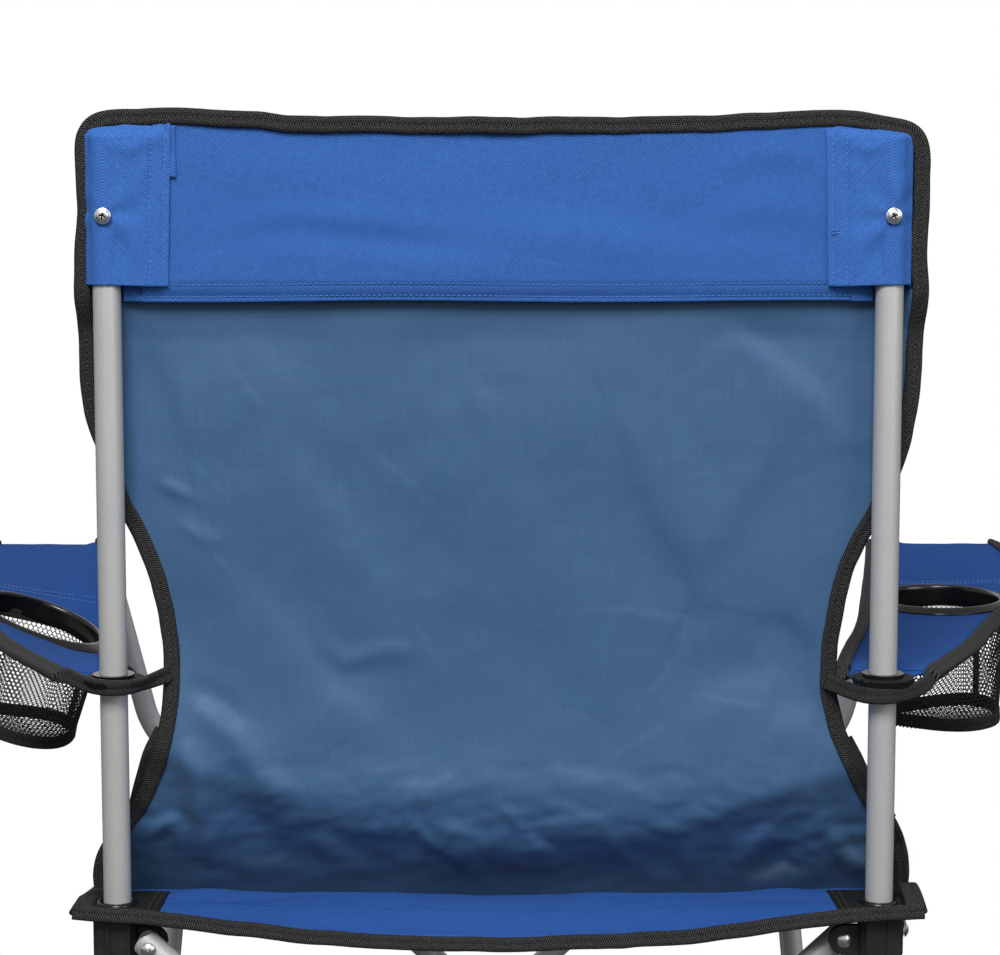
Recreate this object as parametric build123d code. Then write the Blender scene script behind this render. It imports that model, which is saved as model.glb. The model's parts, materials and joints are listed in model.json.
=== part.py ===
from build123d import *
import math
import os

# Folding camp chair: four-sided scissor frame, sling seat, tall fabric back,
# two fabric armrests with cup holders.
# Millimetres, +Z up, the sitter faces -Y, the sitter's left is +X.
# Origin: on the floor, at the centre of the four legs.

# ---------------------------------------------------------------- driving sizes
POST = 222.0          # half the distance between two neighbouring post axes
R_TUBE = 8.0          # outside radius of every frame tube
WALL = 1.2            # tube wall
PIVOT_IN = 20.0       # pivot distance inboard of the post axis
Z_FOOT = 28.0         # height of the lower pivots
Z_HUB = 407.0         # height of the upper pivots, chair open
Z_SEAT = 425.0        # height of the seat corners
PLANE = 10.8          # offset of a cross tube's axis from its ear's mid plane
EAR_T = 5.0           # ear thickness
EAR_R = 9.0           # ear end radius
HUB_R = 12.3          # hub and foot sleeve radius
BORE = 8.3            # sliding bore on the rear posts
R_PIN = 2.5           # rivet shank radius
R_PIN_HOLE = 2.6      # rivet hole in a turning tube
END = 8.0             # tube end beyond its pivot
POST_TOP = 870.0      # top of the rear posts
POST_BOTTOM = 6.0     # bottom of the rear posts, in their feet
BACK_TOP = 888.0      # top of the back's binding
HEAD_LOW = 780.0      # lower edge of the back's header band
POCKET_LOW = 786.0    # open lower edge of the header's post pockets
Z_SCREW = 828.0       # pocket screws
PANEL_LOW_Z = 431.0   # lower edge of the back panel
PANEL_LOW_Y = 182.0
PANEL_TOP_Y = 209.0
FABRIC = 2.6          # stand-in thickness of fabric
SEAT_HINGE = 205.0    # seat fold lines beside the front and rear hems
SEAT_HINGE_Z = 426.0
SEAT_SAG_Z = 408.0    # seat centre line
HEM = 244.0           # outer edge of the seat's hems
ARM_REAR_Y = 202.0    # armrest fold line beside the rear eyelet
ARM_REAR_Z = 561.0
ARM_FRONT_Y = -222.0  # armrest fold line over the arm post
ARM_FRONT_Z = 581.0
ARM_MID_Z = 558.0     # armrest fold at mid length
CUP_X = 304.0
CUP_Y = -56.0
CUP_R = 41.0          # clear radius of the cup ring
CUP_FLANGE = 48.5
CUP_DEPTH = 92.0
ARM_PATH = [(235.0, 386.0), (235.0, 410.0), (262.0, 440.0), (296.3, 576.0)]
ARM_BENDS = [35.0, 60.0]

PIV = POST - PIVOT_IN
SPAN = 2 * PIV
RISE = Z_HUB - Z_FOOT
LENGTH = math.hypot(SPAN, RISE)
Z_MID = (Z_FOOT + Z_HUB) / 2

BOTTOM = (Align.CENTER, Align.CENTER, Align.MIN)


def cyl(r, h, x, y, z):
    """Upright cylinder standing on z."""
    return Pos(x, y, z) * Cylinder(r, h, align=BOTTOM)


def block(x0, x1, y0, y1, z0, z1):
    return Pos((x0 + x1) / 2, (y0 + y1) / 2, (z0 + z1) / 2) * Box(x1 - x0, y1 - y0, z1 - z0)


def along(axis, r, a, b, p, q):
    """Cylinder along X or Y from a to b, at the two other coordinates p, q."""
    lo, hi = min(a, b), max(a, b)
    c = Cylinder(r, hi - lo, align=BOTTOM)
    if axis == "X":
        return Pos(lo, p, q) * Rot(0, 90, 0) * c
    return Pos(p, lo, q) * Rot(-90, 0, 0) * c


def dome(axis, r, h, base, sign, p, q):
    """Domed rivet head standing on `base`, pointing along sign * axis."""
    rr = (r * r + h * h) / (2 * h)
    ball = Pos(0, 0, h - rr) * Sphere(rr)
    cap = ball & (Pos(0, 0, h / 2) * Box(3 * r, 3 * r, h))
    if axis == "X":
        turn = Rot(0, 90 if sign > 0 else -90, 0)
        return Pos(base, p, q) * turn * cap
    turn = Rot(-90 if sign > 0 else 90, 0, 0)
    return Pos(p, base, q) * turn * cap


# --------------------------------------------------------------- corners
# Each corner is described once, for the rear left, then turned about Z by 90
# degree steps: rear left, rear right, front right, front left.
CORNERS = {"rear_left": 0, "rear_right": 90, "front_right": 180, "front_left": 270}


def turned(shape, name):
    return Rot(0, 0, CORNERS[name]) * shape


def ears(z):
    """Two ears at right angles, each with its pivot hole."""
    e = block(PIV, POST - 6, POST - EAR_T / 2, POST + EAR_T / 2, z - EAR_R, z + EAR_R)
    e += along("Y", EAR_R, POST - EAR_T / 2, POST + EAR_T / 2, PIV, z)
    f = block(POST - EAR_T / 2, POST + EAR_T / 2, PIV, POST - 6, z - EAR_R, z + EAR_R)
    f += along("X", EAR_R, POST - EAR_T / 2, POST + EAR_T / 2, PIV, z)
    return e + f


def ear_holes(z):
    h = along("Y", R_PIN, POST - 9, POST + 9, PIV, z)
    return h + along("X", R_PIN, POST - 9, POST + 9, PIV, z)


def corner_rivets(z, upper):
    """The corner's two rivets. At an upper corner the tube of the X-running
    side lies outside its ear and the other inside; at a foot it is reversed."""
    out = []
    far = PLANE + R_TUBE + 0.2
    near = EAR_T / 2
    for axis, outer in (("Y", upper), ("X", not upper)):
        s = 1 if outer else -1
        a, b = POST - s * near, POST + s * far
        pin = along(axis, R_PIN, a, b, PIV, z)
        pin += dome(axis, 4.5, 2.2, b, s, PIV, z)
        pin += dome(axis, 4.2, 1.6, a, -s, PIV, z)
        out.append(pin)
    return out


def rear_hub():
    h = cyl(HUB_R, 24, POST, POST, 398.4) + cyl(15.0, 2.4, POST, POST, 422) + ears(Z_HUB)
    body = Pos(POST + 1.0, POST + 1.0, 400.0) * extrude(RectangleRounded(23.0, 23.0, 3.0), 24.4)
    h += body - block(POST - 30, POST - 8.7, POST - 30, POST + 30, 380, 440) - block(POST - 30, POST + 30, POST - 30, POST - 8.7, 380, 440)
    h += block(POST + 3.0, POST + 5.5, POST + 12.0, POST + 13.6, 400, 422) + block(POST + 12.0, POST + 13.6, POST + 3.0, POST + 5.5, 400, 422)
    h -= cyl(BORE, 60, POST, POST, 380)
    return h - ear_holes(Z_HUB)


def foot(with_post):
    f = cyl(15.0, 5.0, POST, POST, 0) + cyl(HUB_R, 38 if with_post else 34, POST, POST, 4) + ears(Z_FOOT)
    if with_post:
        f += cyl(13.2, 3.0, POST, POST, 41)
        f -= cyl(R_TUBE + 0.02, 60, POST, POST, POST_BOTTOM)
    else:
        f += Pos(POST, POST, 38) * (Sphere(HUB_R) & (Pos(0, 0, 3) * Box(40, 40, 6)))
    return f - ear_holes(Z_FOOT)


def cross_tube(p, q, pin):
    """Tube from pivot p to pivot q with rounded ends and three rivet holes.
    pin is the direction of its rivets."""
    p, q = Vector(*p), Vector(*q)
    d = (q - p).normalized()
    n = (q - p).length
    t = Pos(-END, 0, 0) * Rot(0, 90, 0) * Cylinder(R_TUBE, n + 2 * END, align=BOTTOM)
    rounding = Pos(n / 2, 0, 0) * Box(n - 3, 24, 24)
    rounding += Pos(1.5, 0, 0) * Cylinder(END + 1.5, 24)
    rounding += Pos(n - 1.5, 0, 0) * Cylinder(END + 1.5, 24)
    t = t & rounding
    t -= Pos(-END - 5, 0, 0) * Rot(0, 90, 0) * Cylinder(R_TUBE - WALL, n + 2 * END + 10, align=BOTTOM)
    for x in (0, n / 2, n):
        t -= Pos(x, 0, 0) * Cylinder(R_PIN_HOLE, 24)
    return Plane(origin=p, x_dir=d, z_dir=pin) * t


def cross_rivet(axis, sign):
    """Crossing rivet with its plastic spacer, between the two tubes."""
    a, b = sign * POST - PLANE - R_TUBE - 0.2, sign * POST + PLANE + R_TUBE + 0.2
    pin = along(axis, R_PIN, a, b, 0, Z_MID)
    pin += dome(axis, 4.5, 2.2, b, 1, 0, Z_MID) + dome(axis, 4.5, 2.2, a, -1, 0, Z_MID)
    ring = along(axis, 7.0, sign * POST - 2.5, sign * POST + 2.5, 0, Z_MID)
    ring -= along(axis, 2.6, sign * POST - 9, sign * POST + 9, 0, Z_MID)
    return [pin, ring]


# ------------------------------------------------------------- rear posts
def rear_post(s):
    t = cyl(R_TUBE, POST_TOP - POST_BOTTOM, s * POST, POST, POST_BOTTOM)
    t -= cyl(R_TUBE - WALL, 900, s * POST, POST, 0)
    t -= along("Y", 2.1, POST, POST + 20, s * POST, Z_SCREW)
    return t


def post_cap(s):
    c = cyl(R_TUBE - WALL - 0.05, 12, s * POST, POST, POST_TOP - 12) + cyl(R_TUBE, 3, s * POST, POST, POST_TOP)
    return c


def pocket(s):
    """Sewn pocket of the header around the post: a flat sleeve closed on top."""
    lo, hi = 200.0, 241.0
    face = RectangleRounded(hi - lo, 19.0, 8.5)
    p = extrude(Pos(s * (lo + hi) / 2, POST, POCKET_LOW) * face, BACK_TOP - 5 - POCKET_LOW)
    p -= cyl(R_TUBE + 0.4, POST_TOP + 4 - POCKET_LOW + 1, s * POST, POST, POCKET_LOW - 1)
    p -= along("Y", 2.1, POST, POST + 20, s * POST, Z_SCREW)
    return p


def pocket_screw(s):
    y = POST + 9.5
    w = along("Y", 5.4, y, y + 1.0, s * POST, Z_SCREW) - along("Y", 2.1, y - 1, y + 3, s * POST, Z_SCREW)
    screw = along("Y", 2.0, POST + 6.4, y + 1.0, s * POST, Z_SCREW)
    head = dome("Y", 4.3, 2.6, y + 1.0, 1, s * POST, Z_SCREW)
    head -= block(s * POST - 2.6, s * POST + 2.6, y + 2.2, y + 6, Z_SCREW - 0.45, Z_SCREW + 0.45)
    head -= block(s * POST - 0.45, s * POST + 0.45, y + 2.2, y + 6, Z_SCREW - 2.6, Z_SCREW + 2.6)
    return [screw + head, w]


# ---------------------------------------------------------- front corners
def arm_path(s):
    pts = [(s * x, -POST, z) for x, z in ARM_PATH]
    return FilletPolyline(*pts, radius=ARM_BENDS)


def arm_solid(s, r):
    path = arm_path(s)
    return sweep(Plane(origin=path @ 0, z_dir=path % 0) * Circle(r), path=path)


def arm_post(s):
    return arm_solid(s, R_TUBE) - arm_solid(s, R_TUBE - WALL)


def front_hub(s, name):
    h = turned(cyl(11.5, 30, POST, POST, 392) + ears(Z_HUB), name)
    h += cyl(12.5, 2.4, s * 220, -220, 422)
    h += cyl(11.0, 21, s * 235, -POST, 383)
    h += block(min(s * POST, s * 235), max(s * POST, s * 235), -POST - 9.5, -POST + 9.5, 392, 404)
    h -= arm_solid(s, R_TUBE)
    h -= turned(ear_holes(Z_HUB), name)
    return h


# ---------------------------------------------------------------- fabric
def sloped(points, p0, p1, thick, up=True):
    """Plate whose outline is given as (x, y) in plan, lying on the slope that
    runs from p0 to p1, each (y, z)."""
    n = Vector(0, -(p1[1] - p0[1]), p1[0] - p0[0]).normalized()
    if n.Z < 0:
        n = n * -1
    face = make_face(Polyline(*[(x, y, 0) for x, y in points], close=True))
    prism = extrude(Pos(0, 0, -2000) * face, 4000)
    mid = Vector(0, (p0[0] + p1[0]) / 2, (p0[1] + p1[1]) / 2)
    slab = Plane(origin=mid, x_dir=(1, 0, 0), z_dir=n) * (Pos(0, 0, thick / 2) * Box(3000, 3000, thick))
    return prism & slab


def mirror_points(points, s):
    return [(s * x, y) for x, y in points]


def seat_half(s):
    """s = 1 rear, -1 front; reaches from its hinge line to the middle."""
    pts = [(-230, s * 0.3), (230, s * 0.3), (243, s * (SEAT_HINGE - 0.3)), (-243, s * (SEAT_HINGE - 0.3))]
    return sloped(pts, (s * SEAT_HINGE, SEAT_HINGE_Z - 1.3), (0, SEAT_SAG_Z - 1.3), FABRIC)


def seat_hem(s):
    h = block(-243, 243, min(s * SEAT_HINGE, s * HEM), max(s * SEAT_HINGE, s * HEM), 424.7, 424.7 + FABRIC)
    for sx in (1, -1):
        if s > 0:
            h -= cyl(10.6, 20, sx * POST, POST, 415)
        else:
            h -= cyl(4.6, 20, sx * 220, -220, 415)
            h -= block(min(sx * 233, sx * 260), max(sx * 233, sx * 260), -260, -206, 415, 440)
    return h


def rear_grommet(s):
    g = cyl(10.2, 5.0, s * POST, POST, 424.4) + cyl(12.4, 1.6, s * POST, POST, 427.7)
    return g - cyl(BORE, 40, s * POST, POST, 410)


def front_grommet(s):
    return cyl(4.2, 5.0, s * 220, -220, 424.4) + cyl(12.0, 2.2, s * 220, -220, 427.7)


def armrest_rear(s):
    pts = mirror_points([(243, 0.3), (347, 0.3), (332, 71), (292, 150), (262, 200), (200, 200), (214, 130), (231, 60)], s)
    return sloped(pts, (ARM_REAR_Y, ARM_REAR_Z), (0, ARM_MID_Z), FABRIC)


def cup_place(s):
    """Local frame of the cup ring, on the front half's slope."""
    slope = (ARM_FRONT_Z - ARM_MID_Z) / ARM_FRONT_Y
    n = Vector(0, -slope, 1).normalized()
    z = ARM_MID_Z + CUP_Y * slope
    return Plane(origin=(s * CUP_X, CUP_Y, z), x_dir=(1, 0, 0), z_dir=n)


def armrest_front(s):
    pts = mirror_points([(243, -0.3), (252, -60), (269, -148), (285, -HEM), (383, -HEM + 4), (385, -170), (368, -80), (347, -0.3)], s)
    a = sloped(pts, (ARM_FRONT_Y, ARM_FRONT_Z), (0, ARM_MID_Z), FABRIC)
    return a - cup_place(s) * Cylinder(CUP_R + 3.3, 60)


def cup_ring(s):
    """Moulded ring: flange on the fabric, throat through it."""
    prof = Polyline((CUP_R, -7), (CUP_R + 3, -7), (CUP_R + 3, 2.9), (CUP_FLANGE, 2.9), (CUP_FLANGE - 1, 5.2),
                    (CUP_R + 2, 6.8), (CUP_R, 5.6), close=True)
    ring = revolve(Plane.XZ * make_face(prof), Axis.Z)
    return cup_place(s) * ring


def cup_pocket(s):
    """Hanging net cup, wider at its base, open at the top."""
    r0, r1, t = CUP_R + 3.2, CUP_R + 9.0, 1.6
    prof = Polyline((r0, -0.4), (r0 + t, -0.4), (r1 + t, -CUP_DEPTH), (0, -CUP_DEPTH), (0, -CUP_DEPTH + t), (r1, -CUP_DEPTH + t),
                    close=True)
    cup = revolve(Plane.XZ * make_face(prof), Axis.Z)
    return cup_place(s) * cup


def arm_eyelet(s):
    e = cyl(17.0, 3.0, s * POST, POST, ARM_REAR_Z - 1.5) + cyl(12.0, 9.0, s * POST, POST, ARM_REAR_Z - 4.5)
    return e - cyl(R_TUBE + 0.4, 40, s * POST, POST, ARM_REAR_Z - 20)


def back_panel():
    """Hourglass panel leaning forward from the header to the seat."""
    half = [(238, 431), (238, 452), (226, 466), (214, 487), (207, 505), (200, 525), (197.5, 550), (198, 580), (201, 603), (207, 627), (215, 648),
            (226, 668), (236, 690), (239, 722), (239, HEAD_LOW - 1)]
    pts = half + [(-x, z) for x, z in reversed(half)]
    face = make_face(Polyline(*[(x, 0, z) for x, z in pts], close=True))
    prism = extrude(Pos(0, 600, 0) * face, 1200, dir=(0, -1, 0))
    up = Vector(0, PANEL_TOP_Y - PANEL_LOW_Y, HEAD_LOW - PANEL_LOW_Z).normalized()
    n = Vector(0, up.Z, -up.Y)
    slab = Plane(origin=(0, PANEL_LOW_Y, PANEL_LOW_Z), x_dir=(1, 0, 0), z_dir=n) * (Pos(0, 0, FABRIC / 2) * Box(3000, 3000, FABRIC))
    return prism & slab


def back_header():
    return block(-199.6, 199.6, 216.5, 220.5, HEAD_LOW, BACK_TOP - 5)


def back_binding():
    return block(-240, 240, 213, 229, BACK_TOP - 4.7, BACK_TOP)


# ---------------------------------------------------------------- assembly
P = PIV
NODES = {}
NODES["rear_post_left"] = rear_post(1)
NODES["rear_post_right"] = rear_post(-1)
NODES["post_cap_left"] = post_cap(1)
NODES["post_cap_right"] = post_cap(-1)
for name in CORNERS:
    rear = name.startswith("rear")
    s = 1 if name.endswith("left") else -1
    NODES["foot_" + name] = turned(foot(rear), name)
    NODES["hub_" + name] = turned(rear_hub(), name) if rear else front_hub(s, name)
    NODES["foot_rivets_" + name] = [turned(r, name) for r in corner_rivets(Z_FOOT, False)]
    NODES["hub_rivets_" + name] = [turned(r, name) for r in corner_rivets(Z_HUB, True)]
    # The side that runs from this corner to the next: tube A climbs from this
    # foot to the next hub on the inside, tube B comes from the next foot to
    # this hub on the outside.
    a = cross_tube((P, POST - PLANE, Z_FOOT), (-P, POST - PLANE, Z_HUB), (0, 1, 0))
    b = cross_tube((-P, POST + PLANE, Z_FOOT), (P, POST + PLANE, Z_HUB), (0, 1, 0))
    side = {"rear_left": "rear", "rear_right": "right", "front_right": "front", "front_left": "left"}[name]
    NODES["cross_tube_%s_a" % side] = turned(a, name)
    NODES["cross_tube_%s_b" % side] = turned(b, name)
    NODES["cross_rivet_" + side] = [turned(r, name) for r in cross_rivet("Y", 1)]
for tag, s in (("left", 1), ("right", -1)):
    NODES["arm_post_" + tag] = arm_post(s)
    NODES["pocket_screw_" + tag] = pocket_screw(s)
    NODES["header_pocket_" + tag] = pocket(s)
    NODES["seat_grommet_rear_" + tag] = rear_grommet(s)
    NODES["seat_grommet_front_" + tag] = front_grommet(s)
    NODES["armrest_rear_" + tag] = armrest_rear(s)
    NODES["armrest_front_" + tag] = armrest_front(s)
    NODES["cup_ring_" + tag] = cup_ring(s)
    NODES["cup_pocket_" + tag] = cup_pocket(s)
    NODES["arm_eyelet_" + tag] = arm_eyelet(s)
NODES["back_panel"] = back_panel()
NODES["back_header"] = back_header()
NODES["back_binding"] = back_binding()
NODES["seat_rear"] = seat_half(1)
NODES["seat_front"] = seat_half(-1)
NODES["seat_hem_rear"] = seat_hem(1)
NODES["seat_hem_front"] = seat_hem(-1)

os.makedirs("parts", exist_ok=True)
for name, shape in NODES.items():
    if isinstance(shape, list):
        shape = Compound(children=[s if isinstance(s, Solid) else s.solids()[0] for s in shape])
    else:
        found = shape.solids()
        shape = found[0] if len(found) == 1 else Compound(children=list(found))
    export_step(shape, os.path.join("parts", name + ".step"))
print(len(NODES), "nodes")
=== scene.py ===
import json
import math

import bpy
import numpy as np
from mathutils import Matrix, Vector, noise


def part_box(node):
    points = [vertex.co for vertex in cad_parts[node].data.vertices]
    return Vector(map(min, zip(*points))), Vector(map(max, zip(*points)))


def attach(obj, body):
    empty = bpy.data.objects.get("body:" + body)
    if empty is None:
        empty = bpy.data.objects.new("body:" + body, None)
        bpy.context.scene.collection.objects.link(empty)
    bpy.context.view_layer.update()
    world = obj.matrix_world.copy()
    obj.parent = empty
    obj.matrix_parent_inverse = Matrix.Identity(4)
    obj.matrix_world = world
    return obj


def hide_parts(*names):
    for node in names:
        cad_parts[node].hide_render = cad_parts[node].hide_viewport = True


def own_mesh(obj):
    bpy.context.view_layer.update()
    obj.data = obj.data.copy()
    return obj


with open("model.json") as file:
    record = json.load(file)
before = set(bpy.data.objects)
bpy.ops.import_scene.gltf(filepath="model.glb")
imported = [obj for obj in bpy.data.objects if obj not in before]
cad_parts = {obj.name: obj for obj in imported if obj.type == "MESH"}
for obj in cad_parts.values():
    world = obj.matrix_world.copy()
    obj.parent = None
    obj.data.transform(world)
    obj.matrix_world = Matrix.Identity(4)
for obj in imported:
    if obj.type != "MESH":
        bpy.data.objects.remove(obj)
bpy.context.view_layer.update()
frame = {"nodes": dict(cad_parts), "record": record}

# ------------------------------------------------------------------ places
# All lengths below are millimetres, measured from the CAD nodes' own boxes.
def mmbox(node):
    lo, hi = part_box(node)
    return np.array(lo) * 1000, np.array(hi) * 1000


def mid(node):
    lo, hi = mmbox(node)
    return (lo + hi) / 2


POST = mid("rear_post_left")[0]
YP = mid("rear_post_left")[1]
RT = (mmbox("rear_post_left")[1][0] - mmbox("rear_post_left")[0][0]) / 2
ZG = mmbox("hub_rear_left")[1][2] + 0.6        # plane of the seat's corner eyelets
Z_EYE = mid("arm_eyelet_left")[2]
RIGHT_BODY = "rear_right_post"
ROOT = "rear_left_post"


# ------------------------------------------------------------------ numbers
def lerp_table(t, table):
    xs, ys = zip(*sorted(table))
    return np.interp(t, xs, ys)


def smooth_table(t, table, k=5, step=2.0):
    """Table lookup rounded over a few millimetres, so that outlines curve."""
    t = np.asarray(t, float)
    return sum(lerp_table(t + d, table) for d in np.linspace(-k * step, k * step, 2 * k + 1)) / (2 * k + 1)


def smoothstep(a, b, x):
    t = np.clip((np.asarray(x, float) - a) / (b - a), 0, 1)
    return t * t * (3 - 2 * t)


def value_noise(p, scale, seed=0, octaves=3):
    """Smooth noise for an array of points (..., 3) in millimetres, from -1 to 1."""
    shape = p.shape[:-1]
    q = p.reshape(-1, 3) / scale
    off = Vector((seed * 17.13, seed * 5.71, seed * 11.37))
    out = np.array([noise.fractal(Vector(v) + off, 1.0, 2.0, octaves) for v in q])
    return out.reshape(shape)


def seg_dist(px, pz, pts):
    """Distance and signed side of points to a polyline, with the place along it."""
    best = np.full(px.shape, 1e9)
    side = np.zeros(px.shape)
    along = np.zeros(px.shape)
    pts = np.array(pts, float)
    lens = np.hypot(*(pts[1:] - pts[:-1]).T)
    total, done = lens.sum(), 0.0
    for (ax, az), (bx, bz), l in zip(pts[:-1], pts[1:], lens):
        dx, dz = (bx - ax) / l, (bz - az) / l
        t = np.clip((px - ax) * dx + (pz - az) * dz, 0, l)
        ex, ez = px - ax - t * dx, pz - az - t * dz
        d = np.hypot(ex, ez)
        m = d < best
        best = np.where(m, d, best)
        side = np.where(m, np.sign(dx * (pz - az) - dz * (px - ax)), side)
        along = np.where(m, (done + t) / total, along)
        done += l
    return best, side, along


def crease(px, pz, pts, amp, width, kind="ridge"):
    d, s, a = seg_dist(px, pz, pts)
    ends = np.sin(np.pi * np.clip(a, 0.02, 0.98)) ** 0.6
    if kind == "ridge":
        return amp * np.exp(-((d / width) ** 2)) * ends
    if kind == "step":
        far = np.exp(-((d / (4.5 * width)) ** 2))
        return amp * np.tanh(s * d / width) * far * ends
    return amp * np.exp(-np.abs(d / width)) * ends      # a sharp crinkle


# ------------------------------------------------------------------ meshes
def make(name, verts, faces, mats, uv=None, idx=None, smooth=True, face_uv=None):
    """verts in millimetres. uv is one (u, v) per vertex in metres."""
    me = bpy.data.meshes.new(name)
    me.from_pydata((np.asarray(verts, float) / 1000).tolist(), [], [tuple(int(i) for i in f) for f in faces])
    for m in mats:
        me.materials.append(m)
    if uv is not None:
        layer = me.uv_layers.new(name="cloth")
        loops = np.zeros(len(me.loops), np.int32)
        me.loops.foreach_get("vertex_index", loops)
        layer.data.foreach_set("uv", np.asarray(uv, np.float32)[loops].ravel())
    if idx is not None:
        me.polygons.foreach_set("material_index", np.asarray(idx, np.int32))
    me.polygons.foreach_set("use_smooth", np.full(len(me.polygons), smooth))
    me.update()
    me.validate()
    o = bpy.data.objects.new(name, me)
    bpy.context.scene.collection.objects.link(o)
    return o


def grid_normals(P):
    du, dv = np.gradient(P, axis=0), np.gradient(P, axis=1)
    n = np.cross(du, dv)
    return n / np.maximum(np.linalg.norm(n, axis=-1, keepdims=True), 1e-9)


def shell(name, P, t, mats, UV=None, closed=False):
    """Closed cloth of thickness t around the grid P (n, m, 3). Material 0 is on
    the side of dP/du x dP/dv, material 1 on the other; closed joins the ends of u."""
    n, m, _ = P.shape
    N = grid_normals(P)
    if closed:
        du = np.roll(P, -1, 0) - np.roll(P, 1, 0)
        N = np.cross(du, np.gradient(P, axis=1))
        N /= np.maximum(np.linalg.norm(N, axis=-1, keepdims=True), 1e-9)
    A, B = P + N * t / 2, P - N * t / 2
    verts = np.concatenate([A.reshape(-1, 3), B.reshape(-1, 3)])
    i, j = np.meshgrid(np.arange(n if closed else n - 1), np.arange(m - 1), indexing="ij")
    i, j = i.ravel(), j.ravel()
    i2 = (i + 1) % n
    q = np.stack([i * m + j, i2 * m + j, i2 * m + j + 1, i * m + j + 1], 1)
    b = q[:, ::-1] + n * m
    faces, idx = [q, b], [np.zeros(len(q)), np.ones(len(b))]
    k = n * m

    def rim(ring):
        ring = np.asarray(ring)
        a, c = ring[:-1], ring[1:]
        faces.append(np.stack([c, a, a + k, c + k], 1))
        idx.append(np.zeros(len(a)))

    rows = np.arange(n)
    cols = np.arange(m)
    if closed:
        ringlist = np.append(rows, 0)
        rim(ringlist * m)
        rim((ringlist * m + m - 1)[::-1])
    else:
        rim(rows * m)
        rim((rows * m + m - 1)[::-1])
        rim((cols)[::-1])
        rim((n - 1) * m + cols)
    if UV is None:
        UV = np.stack(np.meshgrid(np.arange(n), np.arange(m), indexing="ij"), -1) * 0.002
    uv = np.concatenate([UV.reshape(-1, 2)] * 2)
    return make(name, verts, np.concatenate(faces), mats, uv, np.concatenate(idx))


def resample(pts, step):
    pts = np.asarray(pts, float)
    d = np.concatenate([[0], np.cumsum(np.linalg.norm(np.diff(pts, axis=0), axis=1))])
    n = max(3, int(d[-1] / step) + 1)
    s = np.linspace(0, d[-1], n)
    return np.stack([np.interp(s, d, pts[:, k]) for k in range(3)], 1), s


def relax(pts, rounds=3):
    pts = np.array(pts, float)
    for _ in range(rounds):
        pts[1:-1] = (pts[:-2] + 2 * pts[1:-1] + pts[2:]) / 4
    return pts


def unit(v):
    v = np.asarray(v, float)
    return v / np.maximum(np.linalg.norm(v, axis=-1, keepdims=True), 1e-9)


def tape(name, pts, normal, width, thick, mat, step=1.6, wobble=0.0, seed=1, groove=0.35, side=0.0, closed=False, rounds=3, turn=None):
    """Ribbed tape along pts. normal is its face's direction, one for all or one
    each; side moves it across its width by that share."""
    pts = np.asarray(pts, float)
    nrm = np.asarray(normal, float)
    if nrm.ndim == 1:
        nrm = np.repeat(nrm[None], len(pts), 0)
    P, s = resample(pts, step)
    d0 = np.concatenate([[0], np.cumsum(np.linalg.norm(np.diff(pts, axis=0), axis=1))])
    N = unit(np.stack([np.interp(s, d0, nrm[:, k]) for k in range(3)], 1))
    if not closed:
        P = relax(P, rounds)
    T = unit(np.gradient(P, axis=0))
    if closed:
        T = unit(np.roll(P, -1, 0) - np.roll(P, 1, 0))
    N = unit(N - (N * T).sum(1, keepdims=True) * T)
    W = np.cross(N, T)
    if turn is not None:            # twist about the tape's own line, degrees
        a = np.radians(np.interp(s / s[-1], *zip(*turn)))[:, None]
        N, W = N * np.cos(a) + W * np.sin(a), W * np.cos(a) - N * np.sin(a)
    h, w = thick / 2, width / 2
    r = min(h, w)
    prof = [(-w, 0), (-w + 0.3 * r, 0.75 * h), (-w + 1.1 * r, h), (-0.5 * w, h), (-0.12 * w, h), (0, h - groove), (0.12 * w, h), (0.5 * w, h),
            (w - 1.1 * r, h), (w - 0.3 * r, 0.75 * h), (w, 0)]
    prof = prof + [(x, -y) for x, y in prof[-2:0:-1]]
    prof = np.array(prof)
    n, m = len(P), len(prof)
    wob = np.zeros(n)
    if wobble:
        wob = np.array([noise.fractal(Vector((v / 26.0, seed * 3.7, 0)), 1.0, 2.0, 3) for v in s]) * wobble
    V = P[:, None, :] + W[:, None, :] * (prof[None, :, 0:1] + side * width) + N[:, None, :] * (prof[None, :, 1:2] + wob[:, None, None])
    verts = V.reshape(-1, 3)
    faces = []
    for i in range(n if closed else n - 1):
        i2 = (i + 1) % n
        for j in range(m):
            j2 = (j + 1) % m
            faces.append((i * m + j, i * m + j2, i2 * m + j2, i2 * m + j))
    if not closed:
        faces.append(tuple(range(m))[::-1])
        faces.append(tuple((n - 1) * m + j for j in range(m)))
    uu = np.repeat(s[:, None], m, 1) / 1000
    vv = np.repeat(prof[None, :, 0], n, 0) / 1000
    # the tape's underside shares v, so the ribs run on round its edges
    o = make(name, verts, faces, [mat], np.stack([uu, vv], -1).reshape(-1, 2))
    return fix_normals(o)


def fix_normals(o):
    import bmesh
    bm = bmesh.new()
    bm.from_mesh(o.data)
    bmesh.ops.recalc_face_normals(bm, faces=bm.faces)
    bm.to_mesh(o.data)
    bm.free()
    return o


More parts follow.
